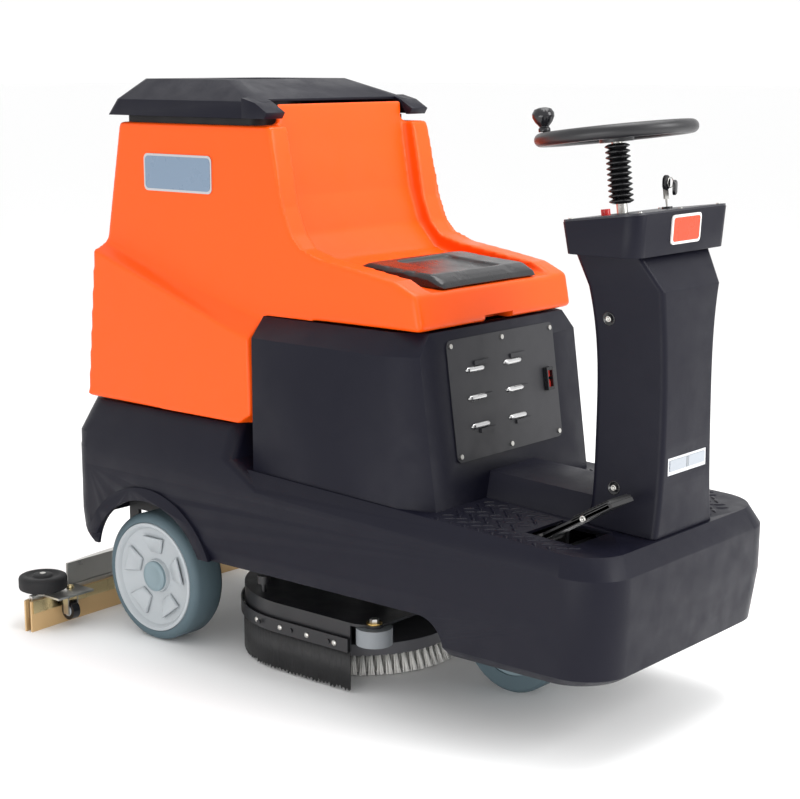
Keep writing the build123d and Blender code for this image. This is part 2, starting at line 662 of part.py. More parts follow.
screws = None
for across, up in panel_screw_places:
    screw = panel_plane * (Pos(across, up, panel_start + panel_thickness + 1.5) * Cylinder(screw_radius, 3))
    screws = screw if screws is None else screws + screw
for along, across in ((0.08, -0.82), (0.08, 0), (0.08, 0.82), (0.92, -0.92), (0.92, 0.92)):
    place = Pos(-along * dash_length, across * control_half, 1.1)
    screws += dash_plane(0) * (place * Cylinder(screw_radius - 1, 2))
nodes["dome_screws"] = screws

bellows_start = 612
bellows_end = 731
bellows_radius = 21
bellows_inner = 14
pleats = 11
pitch = (bellows_end - bellows_start) / pleats
bellows_points = [(bellows_inner, bellows_start)]
for count in range(pleats):
    low = bellows_start + count * pitch
    bellows_points += [(bellows_radius - 4, low), (bellows_radius, low + pitch / 2)]
bellows_points += [(bellows_radius - 4, bellows_end), (bellows_inner, bellows_end)]
bellows = revolve(Plane.XZ * make_face(Polyline(*bellows_points, close=True)), Axis.Z)
nodes["steering_bellows"] = on_steering_axis(0) * bellows

hub_station = 750
steering_shaft = steering_bar(12, hub_station - 2, shaft_radius)
rim_radius = steering_wheel_diameter / 2 - rim_thickness / 2
wheel = Torus(rim_radius, rim_thickness / 2)
wheel += Pos(0, 0, -4) * (Cylinder(34, 26) - Cylinder(shaft_radius + running_fit, 40))
wheel += Pos(0, 0, 6) * Cylinder(34, 10)
for turn in (90, 210, 330):
    wheel += Rot(0, 0, turn) * (Pos(rim_radius / 2 + 10, 0, -3) * Box(rim_radius - 20, 26, 9))
knob_turn = 196
knob_x = rim_radius * cos(radians(knob_turn))
knob_y = rim_radius * sin(radians(knob_turn))
wheel += Pos(knob_x, knob_y, rim_thickness / 2 + 14) * Cylinder(4, 36)
nodes["steering_wheel"] = on_steering_axis(hub_station) * wheel
knob = revolve(Plane.XZ * make_face(Polyline((4.1, 17), (12, 17), (12, 24), (9, 27), (17, 36), (22, 46), (22, 54), (17, 62),
                                             (8, 65), (4.1, 65), close=True)), Axis.Z)
nodes["spinner_knob"] = on_steering_axis(hub_station) * (Pos(knob_x, knob_y, 0) * knob)

# ---------------------------------------------------------------- steering chain and drive unit
sprocket_thickness = 8
small_sprocket = 30
large_sprocket = 90
chain_height = 6


def chain_outline(extra):
    """Loop round both sprockets: two circles and their common tangents."""
    reach = stub_x - drive_x
    tangent = asin((large_sprocket - small_sprocket) / reach)
    big = large_sprocket + extra
    small = small_sprocket + extra
    points = [(big * sin(tangent), big * cos(tangent)), (reach + small * sin(tangent), small * cos(tangent)),
              (reach + small * sin(tangent), -small * cos(tangent)), (big * sin(tangent), -big * cos(tangent))]
    return Circle(big) + Pos(reach, 0) * Circle(small) + make_face(Polyline(*points, close=True))


chain = extrude(chain_outline(chain_height + gap) - chain_outline(gap), sprocket_thickness)
nodes["steering_chain"] = Pos(drive_x, 0, sprocket_z - sprocket_thickness / 2) * chain

lower_shaft = post(stub_x, 0, sprocket_z - 12, stub_top, stub_radius)
lower_shaft += post(stub_x, 0, sprocket_z - sprocket_thickness / 2, sprocket_z + sprocket_thickness / 2, small_sprocket)
lower_shaft += post(stub_x, 0, stub_top - 2, stub_top + 22, 24)
nodes["lower_steering_shaft"] = lower_shaft
steering_shaft += steering_bar(12, 18, 20)
nodes["steering_shaft"] = steering_shaft

nodes["steering_sprocket"] = (post(drive_x, 0, sprocket_z - sprocket_thickness / 2, sprocket_z + sprocket_thickness / 2,
                                   large_sprocket)
                              - post(drive_x, 0, sprocket_z - 20, sprocket_z + 20, head_bore + 0.02))
drive_axle_radius = 12
fork_half = drive_wheel_width / 2 + 10
fork = post(drive_x, 0, crown_top - 1, head_z + plate + 30, head_bore)
fork += post(drive_x, 0, head_z + plate + 1, head_z + plate + 18, head_bore + 12)
fork += block(drive_x - 45, drive_x + 45, -fork_half - 8, fork_half + 8, crown_bottom, crown_top)
leg = block(drive_x - 30, drive_x + 30, -fork_half - 8, -fork_half, drive_wheel_radius - 25, crown_bottom + 1)
fork += both_sides(leg)
fork += bar_y(drive_x, drive_wheel_radius, -fork_half - 1, fork_half + 1, drive_axle_radius)
nodes["drive_fork"] = fork
motor_rear = drive_wheel_width / 2 + 18
drive_motor = bar_y(drive_x, drive_wheel_radius, -motor_rear - 46, -motor_rear, 48)
nodes["drive_motor"] = drive_motor
hub_radius = 88
drive_hub = bar_y(drive_x, drive_wheel_radius, -drive_wheel_width / 2 + 4, drive_wheel_width / 2 - 4, hub_radius)
drive_hub -= bar_y(drive_x, drive_wheel_radius, -60, 60, drive_axle_radius + running_fit)
nodes["drive_hub"] = drive_hub
drive_tyre = bar_y(drive_x, drive_wheel_radius, -drive_wheel_width / 2, drive_wheel_width / 2, drive_wheel_radius)
drive_tyre = chamfer(drive_tyre.edges().filter_by(GeomType.CIRCLE), 6)
drive_tyre -= bar_y(drive_x, drive_wheel_radius, -60, 60, hub_radius)
nodes["drive_tyre"] = drive_tyre

# ---------------------------------------------------------------- pedal
pedal_pivot_x = pocket_rear + 14
pedal_pivot_z = deck_z(pocket_rear) - 18
pedal_pin_radius = 5
pedal_rise = radians(30)
pedal_length = 188
pedal_half = 36
bracket_half = pedal_half + 14
# Shelf and ears of the pedal, welded to the right-hand rail.
shelf = block(pocket_rear - 4, stub_x - 46, pedal_y - bracket_half, pedal_y + bracket_half, rail_top - 1, rail_top + 6)
for side in (-1, 1):
    ear_y = pedal_y + side * (bracket_half - 5)
    shelf += block(pedal_pivot_x - 12, pedal_pivot_x + 12, ear_y - 5, ear_y + 5, rail_top + 5, pedal_pivot_z + 10)
shelf -= bar_y(pedal_pivot_x, pedal_pivot_z, pedal_y - 80, pedal_y + 80, pedal_pin_radius + running_fit)
nodes["chassis_frame"] += shelf
pedal_local = Pos(pedal_length / 2 + 4, 0, 0) * Box(pedal_length, 2 * pedal_half, 8)
pedal_local += Rot(90, 0, 0) * Cylinder(11, 2 * (bracket_half - 11))
pedal_local += Rot(90, 0, 0) * Cylinder(pedal_pin_radius, 2 * bracket_half + 4)
pedal = Pos(pedal_pivot_x, pedal_y, pedal_pivot_z) * Rot(0, -degrees(pedal_rise), 0) * pedal_local
nodes["drive_pedal"] = pedal

# ---------------------------------------------------------------- rear wheels
nodes["rear_axle"] = bar_y(axle_x, rear_wheel_radius, -rear_track / 2 - rear_wheel_width / 2 + 12,
                           rear_track / 2 + rear_wheel_width / 2 - 12, axle_radius)
tyre_depth = 22
hub_rim = rear_wheel_radius - tyre_depth
hub_cap = 36
pocket_inner = hub_cap + 18
pocket_outer = hub_rim - 26
tyre_outer_y = rear_track / 2 + rear_wheel_width / 2
tyre_inner_y = rear_track / 2 - rear_wheel_width / 2
tyre = bar_y(axle_x, rear_wheel_radius, -tyre_outer_y, -tyre_inner_y, rear_wheel_radius)
tyre = fillet(tyre.edges().filter_by(GeomType.CIRCLE), 9)
tyre -= bar_y(axle_x, rear_wheel_radius, -tyre_outer_y - 5, -tyre_inner_y + 5, hub_rim)
pocket_count = 5
hub = bar_y(axle_x, rear_wheel_radius, -tyre_outer_y + 4, -tyre_inner_y - 4, hub_rim)
hub -= (bar_y(axle_x, rear_wheel_radius, -tyre_outer_y - 5, -tyre_outer_y + 40, hub_rim - 10)
        - bar_y(axle_x, rear_wheel_radius, -tyre_outer_y + 16, -tyre_outer_y + 60, 200))
for count in range(pocket_count):
    pocket_form = Pos((pocket_inner + pocket_outer) / 2, 0, 0) * Box(pocket_outer - pocket_inner, 30, 44)
    turned = Rot(0, 36 + count * 360 / pocket_count, 0) * pocket_form
    hub -= Pos(axle_x, -tyre_outer_y + 22, rear_wheel_radius) * turned
hub += bar_y(axle_x, rear_wheel_radius, -tyre_outer_y + 8, -tyre_outer_y + 20, hub_cap)
hub -= bar_y(axle_x, rear_wheel_radius, -tyre_outer_y + 12, -tyre_inner_y + 5, axle_radius + running_fit)
for name, make in (("right", lambda shape: shape), ("left", left_of)):
    nodes["rear_tyre_" + name] = make(tyre)
    nodes["rear_wheel_hub_" + name] = make(hub)

# ---------------------------------------------------------------- brush deck
deck_top = 156
deck_plate = 6
deck_rear = brush_x - 262
deck_front = brush_x + 262
deck_half = 262
deck_wall_foot = 92
skirt_end_x = brush_x + 203   # the skirt's front end, on each side
deck_rear_radius = 255
deck_front_radius = 60


def deck_outline(extra):
    """Plan of the deck, grown all round by a distance."""
    return outline(deck_rear - extra, deck_front + extra, deck_half + extra, deck_rear_radius + extra,
                   deck_front_radius + extra)


deck_outer = deck_outline(0)
deck_inner = deck_outline(-4)
roller_x = brush_x + 245
roller_y = 232
roller_radius = 39
roller_pin = 8
housing = Pos(0, 0, deck_top - deck_plate) * extrude(deck_outer, deck_plate)
wall = Pos(0, 0, deck_wall_foot) * extrude(deck_outer - deck_inner, deck_top - deck_wall_foot - deck_plate + 1)
wall -= block(skirt_end_x, deck_front + 50, -400, 400, 0, deck_top - deck_plate)
housing += wall
housing += both_sides(block(brush_x + 150, roller_x, -roller_y - 20, -roller_y + 20, deck_top - deck_plate, deck_top)
                      + post(roller_x, -roller_y, deck_top - deck_plate, deck_top, 20)
                      + post(roller_x, -roller_y, 110, deck_top, roller_pin)
                      + post(roller_x, -roller_y, 108, 112, 14))
deck_pivot_z = arm_pivot_z - arm_drop
for pivot_x in (front_arm_x, rear_arm_x):
    x = pivot_x - arm_run
    ear = block(x - 14, x + 14, -arm_inner + 1, -arm_inner + 9, deck_top - 1, deck_pivot_z + 14)
    pin_radius = arm_pin_radius if pivot_x == front_arm_x else arm_pin_radius - 1.5
    ear += bar_y(x, deck_pivot_z, -arm_outer - 4, -arm_inner + 9, pin_radius)
    housing += both_sides(ear)
knob_place = (brush_x - 95, -218)
housing += both_sides(post(*knob_place, deck_top - 1, deck_top + 22, 6))
housing += both_sides(post(*knob_place, deck_top + 20, deck_top + 38, 15))
motor_shaft = 10
housing -= post(brush_x, 0, deck_top - 20, deck_top + 1, motor_shaft + 8)
nodes["deck_housing"] = housing

strip_outer = deck_outline(9)
strip_inner = deck_outline(5.7)
skirt_outer = deck_outline(5.5)
skirt_inner = deck_outline(0.2)
front_opening = block(skirt_end_x, deck_front + 50, -400, 400, 0, deck_top + 20)
skirt_foot = 8
skirt = Pos(0, 0, skirt_foot) * extrude(skirt_outer - skirt_inner, 118 - skirt_foot) - front_opening
nodes["deck_skirt"] = skirt
strip = Pos(0, 0, 92) * extrude(strip_outer - strip_inner, 30) - front_opening
strip_screws = None
for x in (skirt_end_x - 55, skirt_end_x - 165, skirt_end_x - 262):
    screw = bar_y(x, 106, -deck_half - 12, -deck_half - 8, screw_radius)
    strip_screws = screw if strip_screws is None else strip_screws + screw
strip += both_sides(strip_screws)
nodes["skirt_clamp_strip"] = strip

brush_motor = post(brush_x, 0, deck_top, deck_top + 28, 75) + post(brush_x, 0, deck_top + 27, deck_top + 134, 55)
brush_motor += post(brush_x, 0, 86, deck_top + 1, motor_shaft)
nodes["brush_motor"] = brush_motor
block_radius = 226
brush_block = post(brush_x, 0, 46, 72, block_radius) + post(brush_x, 0, 71, 100, 40)
brush_block -= post(brush_x, 0, 84, 110, motor_shaft + running_fit)
nodes["brush_disc"] = brush_block
bristle_outer = brush_diameter / 2
bristle_profile = [(130, 1), (118, 46), (block_radius - 8, 46), (bristle_outer, 1)]
bristles = revolve(Plane.XZ * make_face(Polyline(*bristle_profile, close=True)), Axis.Z)
nodes["brush_bristles"] = Pos(brush_x, 0, 0) * bristles

roller = post(roller_x, -roller_y, 112.5, 149, roller_radius) - post(roller_x, -roller_y, 100, 160, roller_pin + running_fit)
nodes["deck_roller_right"] = roller
nodes["deck_roller_left"] = left_of(roller)

for name, pivot_x in (("deck_arms_front", front_arm_x), ("deck_arms_rear", rear_arm_x)):
    arm_length = hypot(arm_run, arm_drop)
    arm_turn = degrees(atan2(arm_drop, arm_run))
    arm_face = SlotCenterToCenter(arm_length, 34)
    arm = extrude(Plane.XZ * (Pos(-arm_length / 2, 0) * arm_face), amount=arm_outer - arm_inner - 1, dir=(0, -1, 0))
    arm -= Rot(90, 0, 0) * Cylinder(arm_pin_radius + running_fit, 60)
    arm -= Pos(-arm_length, 0, 0) * Rot(90, 0, 0) * Cylinder(arm_pin_radius + running_fit, 60)
    arm = Pos(0, -arm_inner - 0.5, 0) * arm
    pair = both_sides(arm)
    pair += Pos(-arm_length / 2, 0, 0) * Rot(90, 0, 0) * Cylinder(11, 2 * arm_inner + 2)
    nodes[name] = Pos(pivot_x, 0, arm_pivot_z) * Rot(0, -arm_turn, 0) * pair

# ---------------------------------------------------------------- squeegee
sweep = 56                    # the rear blade's ends stand this far ahead of its middle
front_sweep = 14              # the front blade is nearly straight, so the two close up at the ends
half_squeegee = squeegee_width / 2


def bowed(behind, bow):
    """Disc whose rear edge is bowed across the machine, a distance ahead of the squeegee's rearmost face."""
    radius = (half_squeegee ** 2 + bow ** 2) / (2 * bow)
    return Pos(tail_x - squeegee_reach + radius, 0) * Circle(radius - behind)


def arc_band(rear_edge, front_edge, half_length, z0, z1):
    """Strip across the machine between two bowed edges, each (distance, bow)."""
    near = Pos(0, 0, z0) * extrude(bowed(*rear_edge), z1 - z0)
    far = Pos(0, 0, z0) * extrude(bowed(*front_edge), z1 - z0)
    return (near & block(tail_x - squeegee_reach - 10, tail_x + 200, -half_length, half_length, z0 - 1, z1 + 1)) - far


frame_top = 84
end_inset = 12
squeegee_frame = arc_band((8, sweep), (60, front_sweep), half_squeegee - end_inset, frame_top - 5, frame_top)
squeegee_frame += arc_band((8, sweep), (13, sweep), half_squeegee - end_inset, 30, frame_top - 4)
squeegee_frame += arc_band((55, front_sweep), (60, front_sweep), half_squeegee - end_inset, 30, frame_top - 4)
squeegee_frame += arc_band((50, front_sweep), (56, front_sweep), 320, frame_top - 1, 138)
squeegee_frame += arc_band((30, sweep), (56, front_sweep), 320, 132, 138)
mouth_x = tail_x - squeegee_reach + 34
squeegee_frame -= block(mouth_x - 30, mouth_x + 40, -30, 30, frame_top, 200)
spout_radius = 24
spout_bore = 19
spout_foot = frame_top + 18
squeegee_frame += post(mouth_x, 0, frame_top - 2, spout_foot, spout_radius + 4)
squeegee_frame += post(mouth_x, 0, spout_foot - 1, spout_foot + 60, spout_radius)
squeegee_frame -= post(mouth_x, 0, frame_top - 20, 170, spout_bore)
swing_x = tail_x - 14
swing_radius = 8
squeegee_frame += block(mouth_x + 20, swing_x, -24, 24, frame_top - 5, frame_top + 6)
squeegee_frame += post(swing_x, 0, frame_top - 5, frame_top + 6, 24)
squeegee_frame += post(swing_x, 0, frame_top, 134, swing_radius)
bumper_x = axle_x - 275
bumper_y = 391
squeegee_frame += both_sides(block(bumper_x - 20, bumper_x + 76, -bumper_y - 16, -bumper_y + 90, frame_top - 5, frame_top))
squeegee_frame += both_sides(post(bumper_x, -bumper_y, frame_top - 1, 130, 7))
caster_x = axle_x - 228
caster_y = 348
caster_z = 38                 # clear of the floor until the squeegee is tipped
caster_radius = 22
fork_plates = None
for side in (-1, 1):
    cheek_y = -caster_y + side * 14
    cheek = block(caster_x - 9, caster_x + 9, cheek_y - 1.5, cheek_y + 1.5, caster_z - 8, frame_top - 4)
    fork_plates = cheek if fork_plates is None else fork_plates + cheek
fork_plates += bar_y(caster_x, caster_z, -caster_y - 14, -caster_y + 14, 4)
squeegee_frame += both_sides(fork_plates)
nodes["squeegee_frame"] = squeegee_frame
blade_top = 74
rear_blade = arc_band((2, sweep), (2 + blade_thickness, sweep), half_squeegee, 0, blade_top)
front_blade = arc_band((61, front_sweep), (61 + blade_thickness, front_sweep), half_squeegee - 4, 0, blade_top)
nodes["squeegee_blades"] = rear_blade + front_blade
nodes["blade_straps"] = (arc_band((0, sweep), (1.8, sweep), half_squeegee - 4, 44, blade_top)
                         + arc_band((66.2, front_sweep), (68, front_sweep), half_squeegee - 8, 44, blade_top))
bumper = post(bumper_x, -bumper_y, frame_top + 6, frame_top + 42, 57.5)
bumper = fillet(bumper.edges().filter_by(GeomType.CIRCLE), 5)
bumper -= post(bumper_x, -bumper_y, 70, 140, 7 + running_fit)
caster = bar_y(caster_x, caster_z, -caster_y - 10, -caster_y + 10, caster_radius)
caster -= bar_y(caster_x, caster_z, -caster_y - 20, -caster_y + 20, 4 + running_fit)
for name, make in (("right", lambda shape: shape), ("left", left_of)):
    nodes["squeegee_roller_" + name] = make(bumper)
    nodes["caster_wheel_" + name] = make(caster)

arm_points = [(squeegee_pivot_x + 16, squeegee_pivot_z + 12), (squeegee_pivot_x - 14, squeegee_pivot_z + 16),
              (swing_x - 22, 124), (swing_x - 22, frame_top + 8), (swing_x + 22, frame_top + 8),
              (squeegee_pivot_x + 12, squeegee_pivot_z - 18)]
squeegee_arm = both_sides(side_prism(arm_points, -lug_half + 0.5, -lug_half + 8.5))
squeegee_arm += block(swing_x - 22, swing_x + 22, -lug_half + 1, lug_half - 1, frame_top + 8, 124)
squeegee_arm -= post(swing_x, 0, frame_top, 140, swing_radius + running_fit)
squeegee_arm += bar_y(squeegee_pivot_x, squeegee_pivot_z, -lug_half - lug_thickness - 3, lug_half + lug_thickness + 3,
                      squeegee_pin_radius)
nodes["squeegee_arm"] = squeegee_arm

# ---------------------------------------------------------------- write one STEP per piece
for name, shape in nodes.items():
    export_step(shape, "parts/" + name + ".step")
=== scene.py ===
from math import cos, hypot, pi, radians, sin, sqrt, tan

import bmesh
import bpy
from mathutils import Matrix, Vector
from mathutils.bvhtree import BVHTree


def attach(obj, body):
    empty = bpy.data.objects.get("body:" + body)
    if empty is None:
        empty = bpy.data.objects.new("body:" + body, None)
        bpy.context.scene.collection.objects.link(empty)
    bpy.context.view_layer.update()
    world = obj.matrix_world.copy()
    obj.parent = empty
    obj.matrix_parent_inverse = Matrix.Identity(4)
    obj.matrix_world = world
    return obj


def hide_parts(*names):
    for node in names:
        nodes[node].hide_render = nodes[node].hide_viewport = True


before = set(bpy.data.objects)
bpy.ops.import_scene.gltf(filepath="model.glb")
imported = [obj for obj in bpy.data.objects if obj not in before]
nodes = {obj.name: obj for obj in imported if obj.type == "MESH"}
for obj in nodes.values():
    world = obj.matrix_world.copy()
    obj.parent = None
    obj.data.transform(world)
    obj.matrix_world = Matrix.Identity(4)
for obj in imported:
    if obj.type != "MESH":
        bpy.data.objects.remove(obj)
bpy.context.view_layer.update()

# ---------------------------------------------------------------- chassis
# Box section rails with cross members, hangers and a mast for the steering, welded
# and powder coated black. The brackets and arms bolted to it have the same coat.


def coated(name, colour, roughness, grain=400.0, bump=0.1, vary=0.1, metallic=0.0, specular=0.5,
           coat=0.0):
    """Moulded or painted surface: cloudy colour, uneven gloss and a fine raised grain."""
    material = bpy.data.materials.new(name)
    material.use_nodes = True
    tree = material.node_tree
    shader = tree.nodes["Principled BSDF"]
    shader.inputs["Metallic"].default_value = metallic
    shader.inputs["Specular IOR Level"].default_value = specular
    shader.inputs["Coat Weight"].default_value = coat
    place = tree.nodes.new("ShaderNodeTexCoord")

    def noise(scale, detail):
        texture = tree.nodes.new("ShaderNodeTexNoise")
        texture.inputs["Scale"].default_value = scale
        texture.inputs["Detail"].default_value = detail
        tree.links.new(place.outputs["Object"], texture.inputs["Vector"])
        return texture.outputs["Fac"]

    shade = tree.nodes.new("ShaderNodeMix")
    shade.data_type = "RGBA"
    shade.inputs["A"].default_value = [c * (1 - vary) for c in colour] + [1.0]
    shade.inputs["B"].default_value = [min(1.0, c * (1 + vary)) for c in colour] + [1.0]
    tree.links.new(noise(6.0, 8.0), shade.inputs["Factor"])
    tree.links.new(shade.outputs["Result"], shader.inputs["Base Color"])
    gloss = tree.nodes.new("ShaderNodeMapRange")
    gloss.inputs["From Min"].default_value = 0.3
    gloss.inputs["From Max"].default_value = 0.7
    uneven = 0.08
    gloss.inputs["To Min"].default_value = max(0.03, roughness - uneven)
    gloss.inputs["To Max"].default_value = min(1.0, roughness + uneven)
    tree.links.new(noise(19.0, 4.0), gloss.inputs["Value"])
    tree.links.new(gloss.outputs["Result"], shader.inputs["Roughness"])
    raised = tree.nodes.new("ShaderNodeBump")
    raised.inputs["Strength"].default_value = bump
    raised.inputs["Distance"].default_value = 0.001
    tree.links.new(noise(grain, 2.0), raised.inputs["Height"])
    tree.links.new(raised.outputs["Normal"], shader.inputs["Normal"])
    return material


def dress(material, *names):
    """Gives CAD pieces their finish."""
    for name in names:
        nodes[name].data.materials.clear()
        nodes[name].data.materials.append(material)


powder_black = coated("powder_coat_black", (0.012, 0.012, 0.014), 0.42, grain=700, bump=0.15, specular=0.35)
dress(powder_black, "chassis_frame", "steering_mast", "drive_fork", "deck_arms_front",
      "deck_arms_rear", "squeegee_arm", "tank_hinge_brackets")

# ---------------------------------------------------------------- body shell
# One rotationally moulded shell in charcoal polyethylene. Its edges are soft, and it carries
# the seat box, the saddle under the tank and the flares over the rear wheels.
charcoal = coated("charcoal_polyethylene", (0.0060, 0.0060, 0.0125), 0.40, grain=900, bump=0.35,
                  specular=0.16)


def in_scene(name, data):
    """Object of the scene that shows a mesh, a light or a camera."""
    piece = bpy.data.objects.new(name, data)
    bpy.context.scene.collection.objects.link(piece)
    return piece


def tidy_copy(node, name):
    """Loose copy of a CAD piece with its doubled points merged and its flat faces whole again."""
    mesh = nodes[node].data.copy()
    mesh.name = name
    work = bmesh.new()
    work.from_mesh(mesh)
    bmesh.ops.remove_doubles(work, verts=work.verts, dist=1e-5)
    bmesh.ops.dissolve_limit(work, angle_limit=radians(0.6), verts=work.verts, edges=work.edges)
    work.to_mesh(mesh)
    work.free()
    return in_scene(name, mesh)


def bake(piece):
    """Turns what the modifiers make of a piece into its plain mesh."""
    finished = piece.evaluated_get(bpy.context.evaluated_depsgraph_get())
    shape = bpy.data.meshes.new_from_object(finished)
    piece.modifiers.clear()
    piece.data = shape
    return piece


def round_over(piece, width, steps=3, limit=30.0):
    """Rolls every sharp edge of a piece over to a radius."""
    bevel = piece.modifiers.new("round_over", "BEVEL")
    bevel.width = width
    bevel.segments = steps
    bevel.limit_method = "ANGLE"
    bevel.angle_limit = radians(limit)
    bevel.harden_normals = True
    return bake(piece)


def smooth(piece, angle=35.0):
    """Shades a piece smooth, except over edges that bend by more than an angle."""
    for face in piece.data.polygons:
        face.use_smooth = True
    piece.data.set_sharp_from_angle(angle=radians(angle))
    return piece


def finish_piece(piece, material, body, slot, *stands_for):
    """Colours a finished piece, fixes it to its body and lets it stand for CAD pieces."""
    piece.data.materials.clear()
    piece.data.materials.append(material)
    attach(piece, body)
    if stands_for:
        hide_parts(*stands_for)
    return piece


shell = smooth(round_over(tidy_copy("body_shell", "body_moulding"), 0.009))
finish_piece(shell, charcoal, "chassis", "dark_moulding", "body_shell")

# ---------------------------------------------------------------- foot deck lugs
# Raised teardrop lugs moulded into the foot deck, each turned a quarter from the next,
# so that a wet shoe holds. They lie on both sides of the tunnel and beside the column.
nose_x = 0.799
deck_fall = radians(2.5)
deck_nose_z = 0.417


def built_mesh(name, build):
    """Mesh made by a function that fills a bmesh, with all its faces turned outwards."""
    mesh = bpy.data.meshes.new(name)
    work = bmesh.new()
    build(work)
    bmesh.ops.recalc_face_normals(work, faces=work.faces)
    work.to_mesh(mesh)
    work.free()
    return mesh


def shape_object(name, build):
    """Hidden master shape for a node tree."""
    mesh = built_mesh(name, build)
    for face in mesh.polygons:
        face.use_smooth = True
    return bpy.data.objects.new(name, mesh)


def repeat_tree(name, material):
    """Node tree that stands a copy of a master shape on every point of a mesh.

    Each copy is turned by the point's own turn attribute, then the copies are made real."""
    tree = bpy.data.node_groups.new(name, "GeometryNodeTree")
    for socket, kind in (("Geometry", "Geometry"), ("Shape", "Object"), ("Size", "Float"),
                         ("Unevenness", "Float")):
        tree.interface.new_socket(socket, in_out="INPUT", socket_type="NodeSocket" + kind)
    tree.interface.new_socket("Geometry", in_out="OUTPUT", socket_type="NodeSocketGeometry")
    start = tree.nodes.new("NodeGroupInput")
    end = tree.nodes.new("NodeGroupOutput")
    master = tree.nodes.new("GeometryNodeObjectInfo")
    tree.links.new(start.outputs["Shape"], master.inputs["Object"])
    turn = tree.nodes.new("GeometryNodeInputNamedAttribute")
    turn.data_type = "FLOAT_VECTOR"
    turn.inputs["Name"].default_value = "turn"
    to_turn = tree.nodes.new("FunctionNodeEulerToRotation")
    tree.links.new(turn.outputs["Attribute"], to_turn.inputs["Euler"])
    spread = tree.nodes.new("FunctionNodeRandomValue")
    spread.data_type = "FLOAT"
    spread.inputs["Seed"].default_value = 7
    for operation, limit in (("SUBTRACT", "Min"), ("ADD", "Max")):
        total = tree.nodes.new("ShaderNodeMath")
        total.operation = operation
        tree.links.new(start.outputs["Size"], total.inputs[0])
        tree.links.new(start.outputs["Unevenness"], total.inputs[1])
        tree.links.new(total.outputs["Value"], spread.inputs[limit])
    stand = tree.nodes.new("GeometryNodeInstanceOnPoints")
    tree.links.new(start.outputs["Geometry"], stand.inputs["Points"])
    tree.links.new(master.outputs["Geometry"], stand.inputs["Instance"])
    tree.links.new(to_turn.outputs["Rotation"], stand.inputs["Rotation"])
    tree.links.new(spread.outputs["Value"], stand.inputs["Scale"])
    real = tree.nodes.new("GeometryNodeRealizeInstances")
    tree.links.new(stand.outputs["Instances"], real.inputs["Geometry"])
    colour = tree.nodes.new("GeometryNodeSetMaterial")
    colour.inputs["Material"].default_value = material
    tree.links.new(real.outputs["Geometry"], colour.inputs["Geometry"])
    tree.links.new(colour.outputs["Geometry"], end.inputs["Geometry"])
    return tree


def repeat(name, places, turns, shape, material, size=1.0, unevenness=0.0):
    """Copies of one shape on many places, as one plain mesh."""
    points = bpy.data.meshes.new(name)
    points.from_pydata(places, [], [])
    piece = in_scene(name, points)
    turn = points.attributes.new("turn", "FLOAT_VECTOR", "POINT")
    for value, angles in zip(turn.data, turns):
        value.vector = angles
    tree = repeat_tree(name + "_tree", material)
    copies = piece.modifiers.new("repeat", "NODES")
    copies.node_group = tree
    values = {"Shape": shape, "Size": size, "Unevenness": unevenness}
    for socket in tree.interface.items_tree:
        if socket.item_type == "SOCKET" and socket.in_out == "INPUT" and socket.name in values:
            copies[socket.identifier] = values[socket.name]
    bake(piece)
    for face in piece.data.polygons:
        face.use_smooth = True
    return piece


def lug_shape(work):
    """Teardrop lug, 28 mm long and 2.4 mm high."""
    half_length = 0.014
    half_width = 0.0042
    taper = 0.45
    sides = 14
    rings = []
    for height, grow in ((0.0, 1.0), (0.0014, 0.86), (0.0024, 0.52)):
        ring = []
        for i in range(sides):
            angle = 2 * pi * i / sides
            along = half_length * cos(angle)
            across = half_width * sin(angle) * (1.0 - taper * cos(angle))
            ring.append(work.verts.new((along * grow, across * grow, height)))
        rings.append(ring)
    for lower, upper in zip(rings, rings[1:]):
        for i in range(sides):
            j = (i + 1) % sides
            work.faces.new((lower[i], lower[j], upper[j], upper[i]))
    work.faces.new(rings[-1])


def takes_lug(x, y):
    """Whether a place on the deck is clear of its edge, the tunnel, the pedal and the column."""
    deck_front = 0.745
    deck_half = 0.298
    tunnel_half = 0.122
    column_rear = 0.60
    column_half = 0.128
    corner_rear = 0.66
    pedal_rear = nose_x - 0.25
    on_deck = x <= deck_front and tunnel_half <= abs(y) <= deck_half
    at_pedal = x > pedal_rear and -0.258 < y < -0.1
    at_column = x > column_rear and abs(y) < column_half
    off_corner = x > corner_rear and abs(y) > deck_half - (x - corner_rear)
    return on_deck and not at_pedal and not at_column and not off_corner


lug_places = []
lug_turns = []
lug_pitch = 0.034
first_lug_x = 0.385
first_lug_y = -0.296
lug_sink = 0.0002
for row in range(40):
    for rank in range(20):
        x = first_lug_x + row * lug_pitch / 2
        y = first_lug_y + rank * lug_pitch + (row % 2) * lug_pitch / 2
        if takes_lug(x, y):
            lug_places.append((x, y, deck_nose_z + (nose_x - x) * tan(deck_fall) - lug_sink))
            lug_turns.append((0.0, deck_fall, radians(45 if (row + rank) % 2 else -45)))
lugs = repeat("foot_deck_lugs", lug_places, lug_turns, shape_object("lug", lug_shape), charcoal)
finish_piece(lugs, charcoal, "chassis", "dark_moulding")

# ---------------------------------------------------------------- recovery tank and seat
# One rotationally moulded tank in orange polyethylene, with blisters low on its sides, a scooped
# seat and a backrest whose sides stand up as soft ridges. It tips up on two hinges at the tail.
orange = coated("orange_polyethylene", (0.90, 0.088, 0.001), 0.38, grain=700, bump=0.22, vary=0.025,
                specular=0.30)
axle_x = -0.465
half_tank = 0.262
half_blister = 0.300
half_scoop = 0.205
half_backrest = 0.201


def at_axle(points):
    """Side outline in metres, from (x, z) points in millimetres before the axle and above the floor."""
    return [(axle_x + x / 1000, z / 1000) for x, z in points]


